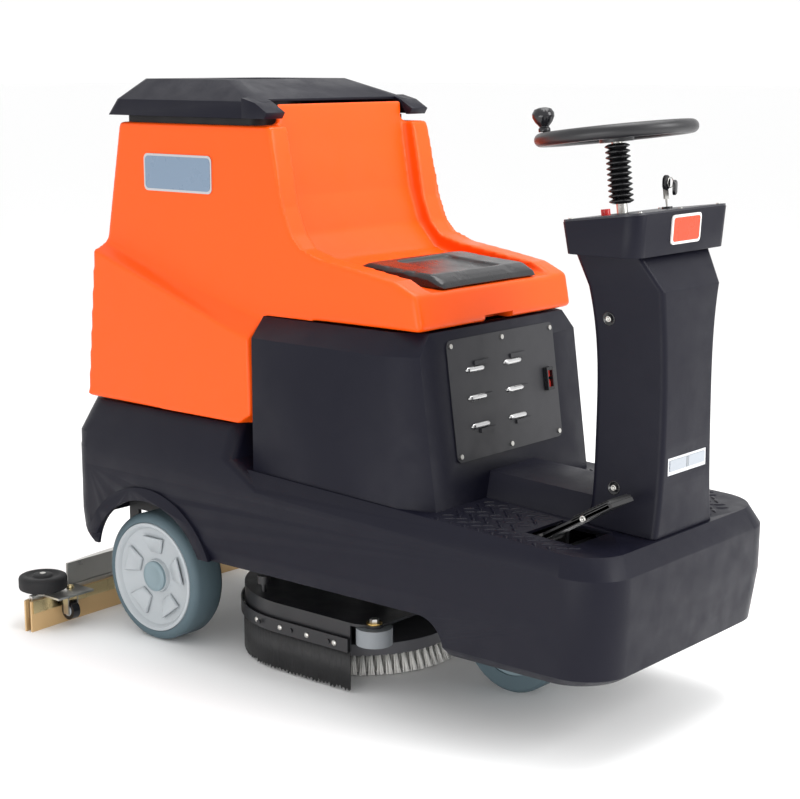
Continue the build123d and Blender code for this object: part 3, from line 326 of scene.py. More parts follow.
def side_prism(work, points, y0, y1, roll=0.0, steps=4):
    """Closed block with a side outline of (x, z) points. Its end edges can be rolled over."""
    near = [work.verts.new((x, y0, z)) for x, z in points]
    far = [work.verts.new((x, y1, z)) for x, z in points]
    count = len(points)
    faces = [work.faces.new(near), work.faces.new(list(reversed(far)))]
    for i in range(count):
        j = (i + 1) % count
        work.faces.new((near[i], far[i], far[j], near[j]))
    if roll:
        ends = list(faces[0].edges) + list(faces[1].edges)
        bmesh.ops.bevel(work, geom=ends, offset=roll, offset_type="OFFSET", segments=steps,
                        profile=0.5, affect="EDGES", clamp_overlap=True)


def block_object(name, build):
    """Loose piece of the scene, made by a function that fills a bmesh."""
    return in_scene(name, built_mesh(name, build))


def carve(piece, cutter):
    """Takes one solid out of another, and the cutter away."""
    cut = piece.modifiers.new("carve", "BOOLEAN")
    cut.operation = "DIFFERENCE"
    cut.solver = "EXACT"
    cut.object = cutter
    bake(piece)
    bpy.data.objects.remove(cutter)
    return piece


def soften(name, pieces, voxel, passes):
    """Fuses overlapping solids into one skin and rubs its edges soft, as a moulding comes out."""
    work = bmesh.new()
    for piece in pieces:
        work.from_mesh(piece.data)
        bpy.data.objects.remove(piece)
    mesh = bpy.data.meshes.new(name)
    work.to_mesh(mesh)
    work.free()
    fused = in_scene(name, mesh)
    skin = fused.modifiers.new("fuse", "REMESH")
    skin.mode = "VOXEL"
    skin.voxel_size = voxel
    rub = fused.modifiers.new("rub", "SMOOTH")
    rub.factor = 0.5
    rub.iterations = passes
    return bake(fused)


lower_inner = at_axle([(-204, 550), (-162, 920), (342, 790), (342, 575), (312, 550)])
lower_outer = at_axle([(-196, 556), (-160, 898), (331, 742), (335, 575), (300, 554)])
upper_outline = at_axle([(-162, 905), (-107, 1188), (368, 1188), (384, 1110), (400, 1020), (422, 965),
                         (450, 935), (507, 920), (590, 908), (710, 890), (764, 866), (777, 800),
                         (771, 792), (330, 792), (330, 760)])
backrest_outline = at_axle([(322, 1160), (330, 1234), (350, 1238), (362, 1225), (375, 1150)])
scoop_outline = at_axle([(332, 1260), (345, 1150), (364, 1040), (392, 960), (440, 906), (520, 880),
                         (720, 868), (860, 858), (860, 1260)])


def blister(work, side):
    """Low block on the tank's side that tapers outwards."""
    inner = [work.verts.new((x, side * (half_tank - 0.01), z)) for x, z in lower_inner]
    outer = [work.verts.new((x, side * half_blister, z)) for x, z in lower_outer]
    work.faces.new(inner)
    work.faces.new(list(reversed(outer)))
    for i in range(len(inner)):
        j = (i + 1) % len(inner)
        work.faces.new((inner[i], outer[i], outer[j], inner[j]))


def centred_block(name, outline, half, roll=0.0, steps=4):
    """Block with a side outline that reaches as far to the left as to the right."""
    return block_object(name, lambda w: side_prism(w, outline, -half, half, roll, steps))


upper = carve(centred_block("upper", upper_outline, half_tank, roll=0.010),
              centred_block("scoop", scoop_outline, half_scoop))
backrest = carve(centred_block("backrest", backrest_outline, half_backrest),
                 centred_block("scoop", scoop_outline, half_scoop))
lower = centred_block("lower", lower_inner, half_tank)
blister_right = block_object("blister_right", lambda w: blister(w, -1))
blister_left = block_object("blister_left", lambda w: blister(w, 1))
tank_blocks = [upper, backrest, lower, blister_right, blister_left]
tank = soften("tank_and_seat", tank_blocks, voxel=0.005, passes=7)

# The mouth lies under the lid, and the notch under the seat's front edge takes the fingers.
mouth = [(-0.535, 0.60), (-0.165, 0.60), (-0.165, 1.30), (-0.535, 1.30)]
notch = [(0.269, 0.70), (0.330, 0.70), (0.330, 0.806), (0.269, 0.806)]
carve(tank, centred_block("mouth", mouth, 0.205))
carve(tank, centred_block("notch", notch, 0.048))
smooth(tank, 50)
finish_piece(tank, orange, "recovery_tank", "orange_moulding", "recovery_tank")


def keep_near(node, name, wanted):
    """The part of a CAD piece whose faces lie where a test says."""
    piece = tidy_copy(node, name)
    work = bmesh.new()
    work.from_mesh(piece.data)
    others = [f for f in work.faces if not wanted(f.calc_center_median())]
    bmesh.ops.delete(work, geom=others, context="FACES")
    work.to_mesh(piece.data)
    work.free()
    return smooth(piece)


def knuckle_or_spigot(p):
    """Whether a point is on a hinge knuckle of the tank or the lid, or on the suction spigot."""
    tank_knuckle = p.x < -0.664 and p.z < 0.58
    lid_knuckle = p.x < -0.575 and p.z > 1.171
    spigot = p.x < -0.58 and hypot(p.y + 0.11, p.z - 1.09) < 0.026
    return tank_knuckle or lid_knuckle or spigot


knuckles = keep_near("recovery_tank", "tank_knuckles_and_spigot", knuckle_or_spigot)
finish_piece(knuckles, orange, "recovery_tank", "orange_moulding")

# ---------------------------------------------------------------- tank lid
# Lid moulded in charcoal, with a soft step round its crown and two wings beside the backrest.
# It lifts on two knuckles at the back and closes on a rubber seal.
lid = smooth(round_over(tidy_copy("tank_lid", "lid_moulding"), 0.005))
finish_piece(lid, charcoal, "tank_lid", "dark_moulding", "tank_lid")
soft_rubber = coated("soft_black_rubber", (0.010, 0.010, 0.011), 0.62, grain=1200, bump=0.2, specular=0.3)
dress(soft_rubber, "lid_gasket", "squeegee_roller_right", "squeegee_roller_left")

# ---------------------------------------------------------------- tanks, batteries and motors inside
# The clean water tank, the pair of traction batteries, the controller and the three motors.
# They show only when the seat is tipped up or from below.
milky = coated("natural_polyethylene", (0.32, 0.33, 0.34), 0.45, grain=300, bump=0.15)
battery_case = coated("battery_case", (0.02, 0.022, 0.03), 0.35, grain=500, bump=0.08)
motor_paint = coated("motor_enamel", (0.05, 0.052, 0.055), 0.35, grain=600, bump=0.1)
dress(milky, "solution_tank")
dress(battery_case, "batteries", "motor_controller")
dress(motor_paint, "vacuum_motor", "brush_motor", "drive_motor")
cap_black = coated("cap_black", (0.012, 0.012, 0.013), 0.4, grain=500)
dress(cap_black, "filler_cap")

# ---------------------------------------------------------------- steering column
# Tall charcoal moulding with a wide foot and a forward chest under the control box.
# It hides the mast and stands on the foot deck.
column = smooth(round_over(tidy_copy("column_cover", "column_moulding"), 0.006))
finish_piece(column, charcoal, "chassis", "dark_moulding", "column_cover")

# ---------------------------------------------------------------- control box
# Moulded box with round front corners on top of the column, closed by a screwed dash plate.
control = smooth(round_over(tidy_copy("control_box", "control_box_moulding"), 0.006))
finish_piece(control, charcoal, "chassis", "dark_moulding", "control_box")
dash_black = coated("dash_black", (0.014, 0.014, 0.022), 0.4, grain=900, bump=0.25)
dress(dash_black, "dash_panel")
badge_red = coated("badge_red", (0.72, 0.055, 0.012), 0.28, grain=200, bump=0.02, vary=0.03)
rim_white = coated("badge_rim", (0.8, 0.78, 0.76), 0.3, grain=200, bump=0.02)
zinc = coated("zinc_plate", (0.56, 0.55, 0.52), 0.34, grain=900, bump=0.06, vary=0.10, metallic=1.0)
gloss_black = coated("gloss_black_plastic", (0.008, 0.008, 0.010), 0.22, grain=500, bump=0.05)
stop_red = coated("stop_button_red", (0.55, 0.008, 0.008), 0.22, grain=300, bump=0.03)
dress(zinc, "steering_shaft", "lower_steering_shaft", "rear_axle", "steering_chain",
      "steering_sprocket", "dome_screws", "ignition_key")
dress(gloss_black, "key_switch")
dress(stop_red, "emergency_button")
dress(rim_white, "front_badge")
ahead = Vector((1, 0, 0))
leftward = Vector((0, 1, 0))
upward = Vector((0, 0, 1))


def extent(node):
    """Lowest and highest corner of a CAD piece."""
    points = [nodes[node].matrix_world @ v.co for v in nodes[node].data.vertices]
    lowest = Vector([min(p[i] for p in points) for i in range(3)])
    highest = Vector([max(p[i] for p in points) for i in range(3)])
    return lowest, highest


def face_frame(node, along):
    """Centre and outward normal of the largest face of a thin plate that looks along a direction."""
    mesh = nodes[node].data
    totals = {}
    for face in mesh.polygons:
        key = tuple(round(c, 2) for c in face.normal)
        totals[key] = totals.get(key, 0.0) + face.area
    key = max((k for k in totals if Vector(k).dot(along) > 0.3), key=lambda k: totals[k])
    faces = [f for f in mesh.polygons if tuple(round(c, 2) for c in f.normal) == key]
    area = sum(f.area for f in faces)
    centre = sum((f.center * f.area for f in faces), Vector()) / area
    return centre, Vector(key).normalized()


def plate_on(name, centre, normal, side, width, height, thick, radius):
    """Round-cornered plate standing on a face. Its top edge is a little smaller than its foot."""
    up = normal.cross(side).normalized()
    outline = []
    for corner, (sx, sy) in enumerate(((1, 1), (-1, 1), (-1, -1), (1, -1))):
        for step in range(7):
            angle = corner * pi / 2 + step * pi / 12
            x = sx * (width / 2 - radius) + radius * cos(angle)
            y = sy * (height / 2 - radius) + radius * sin(angle)
            outline.append((x, y))

    def build(work):
        rings = []
        for lift, shrink in ((0.0, 0.0), (thick * 0.7, 0.0), (thick, thick * 0.3)):
            ring = []
            for x, y in outline:
                grow = 1 - shrink / (hypot(x, y) + 1e-9)
                ring.append(work.verts.new(centre + side * x * grow + up * y * grow + normal * lift))
            rings.append(ring)
        work.faces.new(list(reversed(rings[0])))
        work.faces.new(rings[-1])
        for low, high in zip(rings, rings[1:]):
            for i in range(len(low)):
                j = (i + 1) % len(low)
                work.faces.new((low[i], low[j], high[j], high[i]))

    return block_object(name, build)


badge_centre, badge_normal = face_frame("front_badge", ahead)
badge_sink = 0.0005
badge_face = plate_on("front_badge_face", badge_centre - badge_normal * badge_sink, badge_normal,
                      leftward, width=0.094, height=0.046, thick=0.0012, radius=0.006)
finish_piece(badge_face, badge_red, "chassis", "badge_plastic")

# Key with a black head and a second fob hanging on its ring.
key_low, key_high = extent("ignition_key")
key_mid = (key_low + key_high) / 2


def ring_shape(work):
    """Upright ring of round wire, 20 mm across, that looks ahead."""
    ring_radius = 0.010
    wire_radius = 0.0009
    around = 28
    across = 10
    place = Vector((key_mid.x + 0.004, key_mid.y + 0.008, key_high.z + 0.006))
    rings = []
    for i in range(around):
        a = 2 * pi * i / around
        ring = []
        for j in range(across):
            b = 2 * pi * j / across
            reach = ring_radius + wire_radius * cos(b)
            point = Vector((wire_radius * sin(b), reach * cos(a), reach * sin(a)))
            ring.append(work.verts.new(place + point))
        rings.append(ring)
    for i in range(around):
        near = rings[i]
        far = rings[(i + 1) % around]
        for j in range(across):
            k = (j + 1) % across
            work.faces.new((near[j], far[j], far[k], near[k]))


def pill(name, centre, normal, side, width):
    """Black oval grip of a key, 30 mm long and 6 mm thick, on the key's body."""
    height = 0.030
    thick = 0.006
    radius = min(width, height) / 2 - 0.0005
    piece = plate_on(name, centre - normal * thick / 2, normal, side, width, height, thick, radius)
    finish_piece(smooth(piece), gloss_black, "ignition_key", "black_plastic")


pill("key_head", Vector((key_mid.x, key_mid.y, key_high.z + 0.006)), ahead, leftward, width=0.022)
pill("key_fob", Vector((key_mid.x + 0.010, key_mid.y + 0.016, key_high.z - 0.004)),
     Vector((1, 0.3, 0)).normalized(), Vector((-0.3, 1, 0)).normalized(), width=0.018)
key_ring = block_object("key_ring", ring_shape)
finish_piece(smooth(key_ring), zinc, "ignition_key", "bright_steel")

# ---------------------------------------------------------------- steering wheel, knob and bellows
# Padded wheel with three spokes and a spinner knob. Eleven glossy rubber pleats hide the shaft.
wheel_rubber = coated("wheel_rubber", (0.010, 0.010, 0.012), 0.36, grain=900, bump=0.25)
wheel = smooth(round_over(tidy_copy("steering_wheel", "wheel_moulding"), 0.003, limit=40), 50)
finish_piece(wheel, wheel_rubber, "steering_wheel", "black_plastic", "steering_wheel")
knob = smooth(round_over(tidy_copy("spinner_knob", "knob_moulding"), 0.002, limit=40), 50)
finish_piece(knob, gloss_black, "spinner_knob", "black_plastic", "spinner_knob")
steer_lean = radians(7.0)
steer_up = Vector((-sin(steer_lean), 0, cos(steer_lean)))
steer_foot = Vector((0.682, 0, 0.440))
bellows_low, bellows_high = extent("steering_bellows")
bellows_margin = 0.003
bellows_start = (bellows_low.z + bellows_margin - steer_foot.z) / steer_up.z
bellows_end = (bellows_high.z - bellows_margin - steer_foot.z) / steer_up.z


def turned(work, profile, foot, axis, steps=40, hollow=False):
    """Solid turned round an axis from a profile of (distance, radius) points.

    The profile of a hollow one runs back to its first point, so that it has a bore."""
    side = axis.orthogonal().normalized()
    across = axis.cross(side)
    rings = []
    for distance, radius in profile:
        ring = []
        for i in range(steps):
            angle = 2 * pi * i / steps
            spoke = side * cos(angle) + across * sin(angle)
            ring.append(work.verts.new(foot + axis * distance + spoke * max(radius, 1e-5)))
        rings.append(ring)
    if hollow:
        rings.append(rings[0])
    for low, high in zip(rings, rings[1:]):
        for i in range(steps):
            j = (i + 1) % steps
            work.faces.new((low[i], low[j], high[j], high[i]))
    if not hollow:
        work.faces.new(rings[0])
        work.faces.new(list(reversed(rings[-1])))


def turned_block(name, profile, foot, axis, steps=40, hollow=False):
    return block_object(name, lambda w: turned(w, profile, foot, axis, steps, hollow))


pleats = 11
pleat_steps = 8
valley_radius = 0.0165
pleat_depth = 0.0085
pleat_profile = []
for step in range(pleats * pleat_steps + 1):
    wave = 0.5 - 0.5 * cos(2 * pi * step / pleat_steps)
    distance = bellows_start + (bellows_end - bellows_start) * step / (pleats * pleat_steps)
    pleat_profile.append((distance, valley_radius + pleat_depth * wave ** 0.6))
boot = turned_block("bellows_pleats", pleat_profile, steer_foot, steer_up)
boot_rubber = coated("bellows_rubber", (0.008, 0.008, 0.009), 0.24, grain=700, bump=0.06)
finish_piece(smooth(boot, 60), boot_rubber, "chassis", "black_rubber", "steering_bellows")

# ---------------------------------------------------------------- column bolts and headlight
# Two socket bolts in black cups on each side of the column, and a lamp unit in a silver bezel.
origin = Vector()
cup_profile = [(0.0, 0.0085), (0.0, 0.0112), (0.0012, 0.0110), (0.0018, 0.0098), (0.0004, 0.0085)]
bolt_profile = [(0.0, 0.0062), (0.0030, 0.0062), (0.0038, 0.0054), (0.0038, 0.0034), (0.0012, 0.0030),
                (0.0012, 0.0)]


def cup_shape(work):
    """Black cup round a recessed bolt, 22 mm across before it is sized."""
    turned(work, cup_profile, origin, upward)


def bolt_shape(work):
    """Socket head bolt, 12 mm across, with a round socket."""
    turned(work, bolt_profile, origin, upward, steps=24)


def skin_at(node, start, direction):
    """Where a line first meets a CAD piece, and the way its skin faces there."""
    mesh = nodes[node].data
    tree = BVHTree.FromPolygons([v.co for v in mesh.vertices], [p.vertices for p in mesh.polygons])
    return tree.ray_cast(Vector(start), Vector(direction))[:2]


def turn_to(normal):
    """Turn that stands an upright shape on a face."""
    return upward.rotation_difference(normal).to_euler()


bolt_places = []
bolt_turns = []
bolt_sink = 0.0004
for side in (-1, 1):
    for x, z in ((0.648, 0.836), (0.668, 0.505)):
        place, normal = skin_at("column_cover", (x, side * 0.6, z), (0, -side, 0))
        bolt_places.append(place - normal * bolt_sink)
        bolt_turns.append(turn_to(normal))
cup = shape_object("cup", cup_shape)
cups = repeat("column_bolt_cups", bolt_places, bolt_turns, cup, gloss_black, size=1.25)
finish_piece(cups, gloss_black, "chassis", "black_plastic")
bolt = shape_object("bolt", bolt_shape)
bolts = repeat("column_bolts", bolt_places, bolt_turns, bolt, zinc)
finish_piece(bolts, zinc, "chassis", "bright_steel")

lamp_low, lamp_high = extent("headlight")
lamp_mid = (lamp_low + lamp_high) / 2
bezel = coated("lamp_bezel", (0.70, 0.71, 0.73), 0.22, grain=300, bump=0.02, metallic=1.0)
lens = coated("lamp_lens", (0.34, 0.37, 0.41), 0.10, grain=120, bump=0.25, vary=0.10, coat=0.5)
dark_lens = coated("lamp_lens_dark", (0.25, 0.27, 0.29), 0.12, grain=120, bump=0.2, coat=0.5)
dress(bezel, "headlight")
lamp_parts = (("headlight_lens_right", -0.034, 0.060, lens),
              ("headlight_lens_left", 0.034, 0.060, lens),
              ("headlight_divider", 0.0, 0.005, dark_lens))
for name, y, width, material in lamp_parts:
    place = Vector((lamp_high.x - 0.0004, y, lamp_mid.z + 0.001))
    piece = plate_on(name, place, ahead, leftward, width, height=0.022, thick=0.002, radius=0.002)
    finish_piece(piece, material, "chassis", "lamp_lens")

# ---------------------------------------------------------------- access panel
# Flat black panel with six pressed louvres, screws round its edge and a red charging socket.
panel_black = coated("panel_black", (0.016, 0.016, 0.020), 0.45, grain=800, bump=0.2)
# The louvres are coloured bright silver metal: a painted glint that stands for light catching the louvres
# pressed into the black sheet.
louvre_glint_silver = coated("louvre_painted_glint", (0.60, 0.60, 0.60), 0.30, grain=700, bump=0.05, metallic=1.0)
dress(panel_black, "access_panel")
panel_centre, panel_normal = face_frame("access_panel", ahead)
panel_low, panel_high = extent("access_panel")
panel_up = panel_normal.cross(leftward).normalized()
if panel_up.z < 0:
    panel_up = -panel_up


def louvre_shape(work):
    """Half-round hood of a louvre, 62 mm long, with blunt ends and a flat back."""
    length = 0.062
    half_width = 0.0062
    depth = 0.0048
    sections = 12
    arc_steps = 6
    rings = []
    for i in range(sections + 1):
        along = length * i / sections - length / 2
        grow = sqrt(max(0.0, 1 - (abs(along) / 0.0311) ** 6))
        ring = []
        for j in range(arc_steps + 1):
            angle = pi * j / arc_steps
            y = half_width * cos(angle) * grow
            z = depth * sin(angle) * grow + 0.0001
            ring.append(work.verts.new((along, y, z)))
        rings.append(ring)
    for low, high in zip(rings, rings[1:]):
        for j in range(arc_steps):
            work.faces.new((low[j], low[j + 1], high[j + 1], high[j]))
        work.faces.new((low[0], high[0], high[-1], low[-1]))
    work.faces.new(rings[0])
    work.faces.new(list(reversed(rings[-1])))


louvre_places = []
louvre_turns = []
louvre_turn = Matrix((leftward, panel_normal.cross(leftward), panel_normal)).transposed().to_euler()
panel_half = (panel_high.z - panel_low.z) / 2
for y in (-0.098, 0.030):
    for height in (0.47, 0.0, -0.47):
        place = Vector((panel_centre.x, y, panel_centre.z)) + panel_up * height * panel_half
        offset = (panel_centre - place).dot(panel_normal)
        louvre_places.append(place + panel_normal * offset)
        louvre_turns.append(louvre_turn)
louvre = shape_object("louvre", louvre_shape)
# The louvre copies carry the painted glint colour, not a metal of their own.
louvres = repeat("panel_louvres", louvre_places, louvre_turns, louvre, louvre_glint_silver)
finish_piece(louvres, louvre_glint_silver, "chassis", "bright_steel")
socket_low, socket_high = extent("charging_socket")
socket_mid = (socket_low + socket_high) / 2
dress(gloss_black, "charging_socket")
socket_red = coated("socket_red", (0.50, 0.02, 0.012), 0.4, grain=500)
for name, rise in (("socket_insert_upper", 0.011), ("socket_insert_lower", -0.011)):
    spot = socket_mid + panel_up * rise
    spot += panel_normal * ((panel_centre - spot).dot(panel_normal) + 0.0005)
    insert = plate_on(name, spot, panel_normal, leftward, width=0.016, height=0.016, thick=0.003,
                      radius=0.002)
    finish_piece(insert, socket_red, "chassis", "red_plastic")

# ---------------------------------------------------------------- tank badge
# Blank plate in slate blue with a thin silver rim.
slate = coated("badge_slate", (0.17, 0.235, 0.32), 0.3, grain=300, bump=0.02, vary=0.05)
silver = coated("silver", (0.62, 0.62, 0.63), 0.34, grain=900, bump=0.05, vary=0.06, metallic=1.0)
dress(silver, "tank_badge")
plate_centre, plate_normal = face_frame("tank_badge", -leftward)
slate_face = plate_on("tank_badge_face", plate_centre, plate_normal, ahead, width=0.206, height=0.072,
                      thick=0.001, radius=0.010)
finish_piece(slate_face, slate, "recovery_tank", "badge_plastic")

# ---------------------------------------------------------------- rear wheels
# Grey wheels with a dished face, five raised bosses and a round cap, in non-marking grey tyres.
tyre_grey = coated("tyre_grey", (0.085, 0.125, 0.145), 0.6, grain=500, bump=0.35, specular=0.3)
wheel_grey = coated("wheel_grey", (0.40, 0.43, 0.45), 0.42, grain=600, bump=0.1, vary=0.05)
cap_grey = coated("wheel_cap_grey", (0.20, 0.27, 0.30), 0.35, grain=500, bump=0.05)
wheel_radius = 0.150
tyre_face = 0.295
rim_depth = 0.086
tyre_profile = [(0.0, 0.127), (0.0, 0.136), (0.003, 0.145), (0.012, 0.1498), (0.074, 0.1498),
                (0.082, 0.1465), (0.087, 0.140), (0.089, 0.133), (0.0875, 0.1285), (0.082, 0.127)]
dish_profile = [(0.002, 0.0), (0.002, 0.126), (0.083, 0.1275), (0.085, 0.1265), (0.085, 0.120),
                (0.082, 0.1165), (0.076, 0.113), (0.0735, 0.108), (0.066, 0.060), (0.064, 0.048),
                (0.064, 0.040), (0.072, 0.038), (0.072, 0.0)]
cap_profile = [(0.066, 0.0), (0.066, 0.036), (0.078, 0.035), (0.080, 0.032), (0.0805, 0.024),
               (0.0795, 0.021), (0.0795, 0.0)]
dress(cap_grey, "drive_hub")
dress(tyre_grey, "drive_tyre")


def boss_ring(work, side):
    """Five raised wedges on the dish, a little smaller at the top than at the foot."""
    inner_radius = 0.056
    outer_radius = 0.100
    middle_radius = 0.078
    for count in range(5):
        middle = radians(90 + 72 * count)
        corners = ((inner_radius, -0.30), (inner_radius, 0.30), (outer_radius, 0.36),
                   (outer_radius, -0.36))
        rings = []
        for lift, shrink in ((0.0, 0.0), (0.006, 0.1)):
            ring = []
            for radius, spread in corners:
                angle = middle + spread * (1 - shrink)
                reach = radius + (middle_radius - radius) * shrink
                depth = 0.010 + 0.010 * (outer_radius - reach) / (outer_radius - inner_radius) - lift
                x = axle_x + reach * cos(angle)
                z = wheel_radius + reach * sin(angle)
                ring.append(work.verts.new((x, side * (tyre_face - depth), z)))
            rings.append(ring)
        work.faces.new(rings[0])
        work.faces.new(list(reversed(rings[1])))
        for i in range(4):
            j = (i + 1) % 4
            work.faces.new((rings[0][i], rings[1][i], rings[1][j], rings[0][j]))


for side, label in ((-1, "right"), (1, "left")):
    body = "rear_wheel_" + label
    out = Vector((0, side, 0))
    foot = Vector((axle_x, side * (tyre_face - rim_depth), wheel_radius))
    tyre_foot = foot - out * 0.004
    tyre = turned_block("tyre_" + label, tyre_profile, tyre_foot, out, steps=72, hollow=True)
    finish_piece(smooth(tyre, 45), tyre_grey, body, "tyre_rubber", "rear_tyre_" + label)
    rim = turned_block("wheel_dish_" + label, dish_profile, foot, out, steps=72)
    finish_piece(smooth(rim, 30), wheel_grey, body, "hub_aluminium", "rear_wheel_hub_" + label)
    bosses = block_object("wheel_bosses_" + label, lambda w: boss_ring(w, side))
    round_over(bosses, 0.002, 2)
    finish_piece(smooth(bosses), wheel_grey, body, "hub_aluminium")
    cap = turned_block("wheel_cap_" + label, cap_profile, foot, out, steps=48)
    finish_piece(smooth(cap, 40), cap_grey, body, "hub_aluminium")

# ---------------------------------------------------------------- drive pedal
# Treadle with black side plates and a ribbed rubber pad on its top end.
pedal_black = coated("pedal_black", (0.010, 0.010, 0.011), 0.40, grain=700, bump=0.2)
dress(pedal_black, "drive_pedal")
pedal_rise = radians(30)
pedal_along = Vector((cos(pedal_rise), 0, sin(pedal_rise)))
pedal_out = Vector((-sin(pedal_rise), 0, cos(pedal_rise)))
pedal_pivot = Vector((nose_x - 0.222, -0.182, deck_nose_z + 0.236 * tan(deck_fall) - 0.018))


def on_pedal(along, y, height):
    """Place measured along the treadle from its pivot, across it and out from it."""
    return pedal_pivot + pedal_along * along + Vector((0, y, 0)) + pedal_out * height


def pedal_box(work, a0, a1, y0, y1, h0, h1):
    """Block between two distances along the treadle, two across it and two out from it."""
    corners = [work.verts.new(on_pedal(a, y, h)) for a in (a0, a1) for y in (y0, y1) for h in (h0, h1)]
    for quad in ((0, 1, 3, 2), (4, 6, 7, 5), (0, 4, 5, 1), (2, 3, 7, 6), (0, 2, 6, 4), (1, 5, 7, 3)):
        work.faces.new([corners[i] for i in quad])


def treadle(work):
    """Two side plates and the bed of the rubber pad."""
    for y in (-0.036, 0.030):
        pedal_box(work, 0.014, 0.186, y, y + 0.006, -0.003, 0.009)
    pedal_box(work, 0.090, 0.191, -0.036, 0.036, 0.004, 0.010)


def ribs(work):
    """Ten ribs of the rubber pad."""
    rib_pitch = 0.0095
    for count in range(10):
        start = 0.096 + count * rib_pitch
        pedal_box(work, start, start + 0.005, -0.033, 0.033, 0.0095, 0.013)


pedal_plates = smooth(round_over(block_object("pedal_treadle", treadle), 0.0012, 2))
finish_piece(pedal_plates, pedal_black, "drive_pedal", "black_plastic")
pedal_pad = smooth(round_over(block_object("pedal_ribs", ribs), 0.0008, 2))
finish_piece(pedal_pad, soft_rubber, "drive_pedal", "black_rubber")
pedal_bolt_places = [on_pedal(along, -0.0375, 0.0) for along in (0.0, 0.120)]
pedal_bolt_turns = [(radians(90), 0, 0)] * 2
pedal_bolt = shape_object("pedal_bolt", bolt_shape)
pedal_bolts = repeat("pedal_bolts", pedal_bolt_places, pedal_bolt_turns, pedal_bolt, zinc, size=1.1)
finish_piece(pedal_bolts, zinc, "drive_pedal", "bright_steel")

# ---------------------------------------------------------------- brush deck
# Black deck with a bristle skirt held by a strip and dome screws, knobs at the rear top,
# guide rollers at the front corners and one disc brush with splayed white tufts.
deck_black = coated("deck_black", (0.010, 0.010, 0.012), 0.38, grain=500, bump=0.2)
dress(deck_black, "deck_housing", "deck_skirt", "skirt_clamp_strip")
roller_grey = coated("roller_grey", (0.20, 0.215, 0.23), 0.45, grain=500, bump=0.15)
disc_grey = coated("brush_disc_grey", (0.10, 0.10, 0.11), 0.5, grain=400)
dress(roller_grey, "deck_roller_right", "deck_roller_left")
dress(disc_grey, "brush_disc")
brass = coated("brass_washer", (0.62, 0.42, 0.14), 0.3, grain=500, bump=0.03, metallic=1.0)
brush_x = -0.080
dome_profile = [(0.0, 0.0), (0.0, 0.0062), (0.0012, 0.0060), (0.0026, 0.0046), (0.0034, 0.0022),
                (0.0035, 0.0)]
dome = shape_object("dome_head", lambda w: turned(w, dome_profile, origin, upward, steps=20))
strip_height = 0.106
strip_places = []
strip_turns = []
for side in (-1, 1):
    for ahead_of_brush in (0.165, 0.085, 0.005, -0.075):
        start = (brush_x + ahead_of_brush, side * 0.5, strip_height)
        place, normal = skin_at("skirt_clamp_strip", start, (0, -side, 0))
        if place:
            strip_places.append(place)
            strip_turns.append(turn_to(normal))
strip_screws = repeat("strip_screws", strip_places, strip_turns, dome, zinc, size=1.05)
finish_piece(strip_screws, zinc, "brush_deck", "bright_steel")
washer_profile = [(0.0, 0.0), (0.0, 0.017), (0.003, 0.017), (0.003, 0.0)]
hexagon_profile = [(0.0, 0.0), (0.0, 0.010), (0.008, 0.010), (0.009, 0.008), (0.009, 0.0)]
washer_z = 0.156
hexagon_z = 0.159
for side, label in ((-1, "right"), (1, "left")):
    roller_x = brush_x + 0.245
    roller_y = side * 0.232
    washer_at = Vector((roller_x, roller_y, washer_z))
    hexagon_at = Vector((roller_x, roller_y, hexagon_z))
    washer = turned_block("roller_washer_" + label, washer_profile, washer_at, upward, steps=32)
    finish_piece(smooth(washer), brass, "brush_deck", "zinc_steel")
    head = turned_block("roller_bolt_" + label, hexagon_profile, hexagon_at, upward, steps=6)
    finish_piece(head, zinc, "brush_deck", "bright_steel")


def tuft_shape(work):
    """One clump of bristles, 44 mm long, splayed at its tip. It points down from its hole."""
    strands = 7
    root_reach = 0.0022
    tip_reach = 0.0062
    root_radius = 0.0016
    tip_radius = 0.0021
    for i in range(strands):
        angle = 2 * pi * i / strands
        reach = 0.0 if i == strands - 1 else 1.0
        side = Vector((-sin(angle), cos(angle), 0))
        out = Vector((cos(angle), sin(angle), 0))
        root = out * root_reach * reach
        tip = out * tip_reach * reach - upward * 0.0435
        lower = []
        upper = []
        for turn in range(5):
            b = 2 * pi * turn / 5
            spoke = side * cos(b) + out * sin(b)
            upper.append(work.verts.new(root + spoke * root_radius))
            lower.append(work.verts.new(tip + spoke * tip_radius))
        for turn in range(5):
            k = (turn + 1) % 5
            work.faces.new((upper[turn], upper[k], lower[k], lower[turn]))
        work.faces.new(lower)
        work.faces.new(list(reversed(upper)))


# Each circle of tufts has its radius, its number of tufts and their splay in degrees.
tuft_circles = ((0.224, 76, 20), (0.206, 70, 10), (0.188, 64, 4), (0.165, 52, 0), (0.140, 44, 0))
tuft_root_z = 0.0465
tuft_places = []
tuft_turns = []
for circle, (radius, count, splay) in enumerate(tuft_circles):
    for step in range(count):
        angle = 2 * pi * (step + 0.5 * (circle % 2)) / count
        lean = radians(splay + 3 * sin(step * 2.4))
        tuft_places.append((brush_x + radius * cos(angle), radius * sin(angle), tuft_root_z))
        tuft_turns.append((0.0, -lean, angle))
white_nylon = coated("white_nylon", (0.84, 0.83, 0.80), 0.55, grain=1500, bump=0.3, vary=0.05)
tuft = shape_object("tuft", tuft_shape)
tufts = repeat("brush_tufts", tuft_places, tuft_turns, tuft, white_nylon, size=0.985,
               unevenness=0.012)
finish_piece(tufts, white_nylon, "brush", "bristle", "brush_bristles")


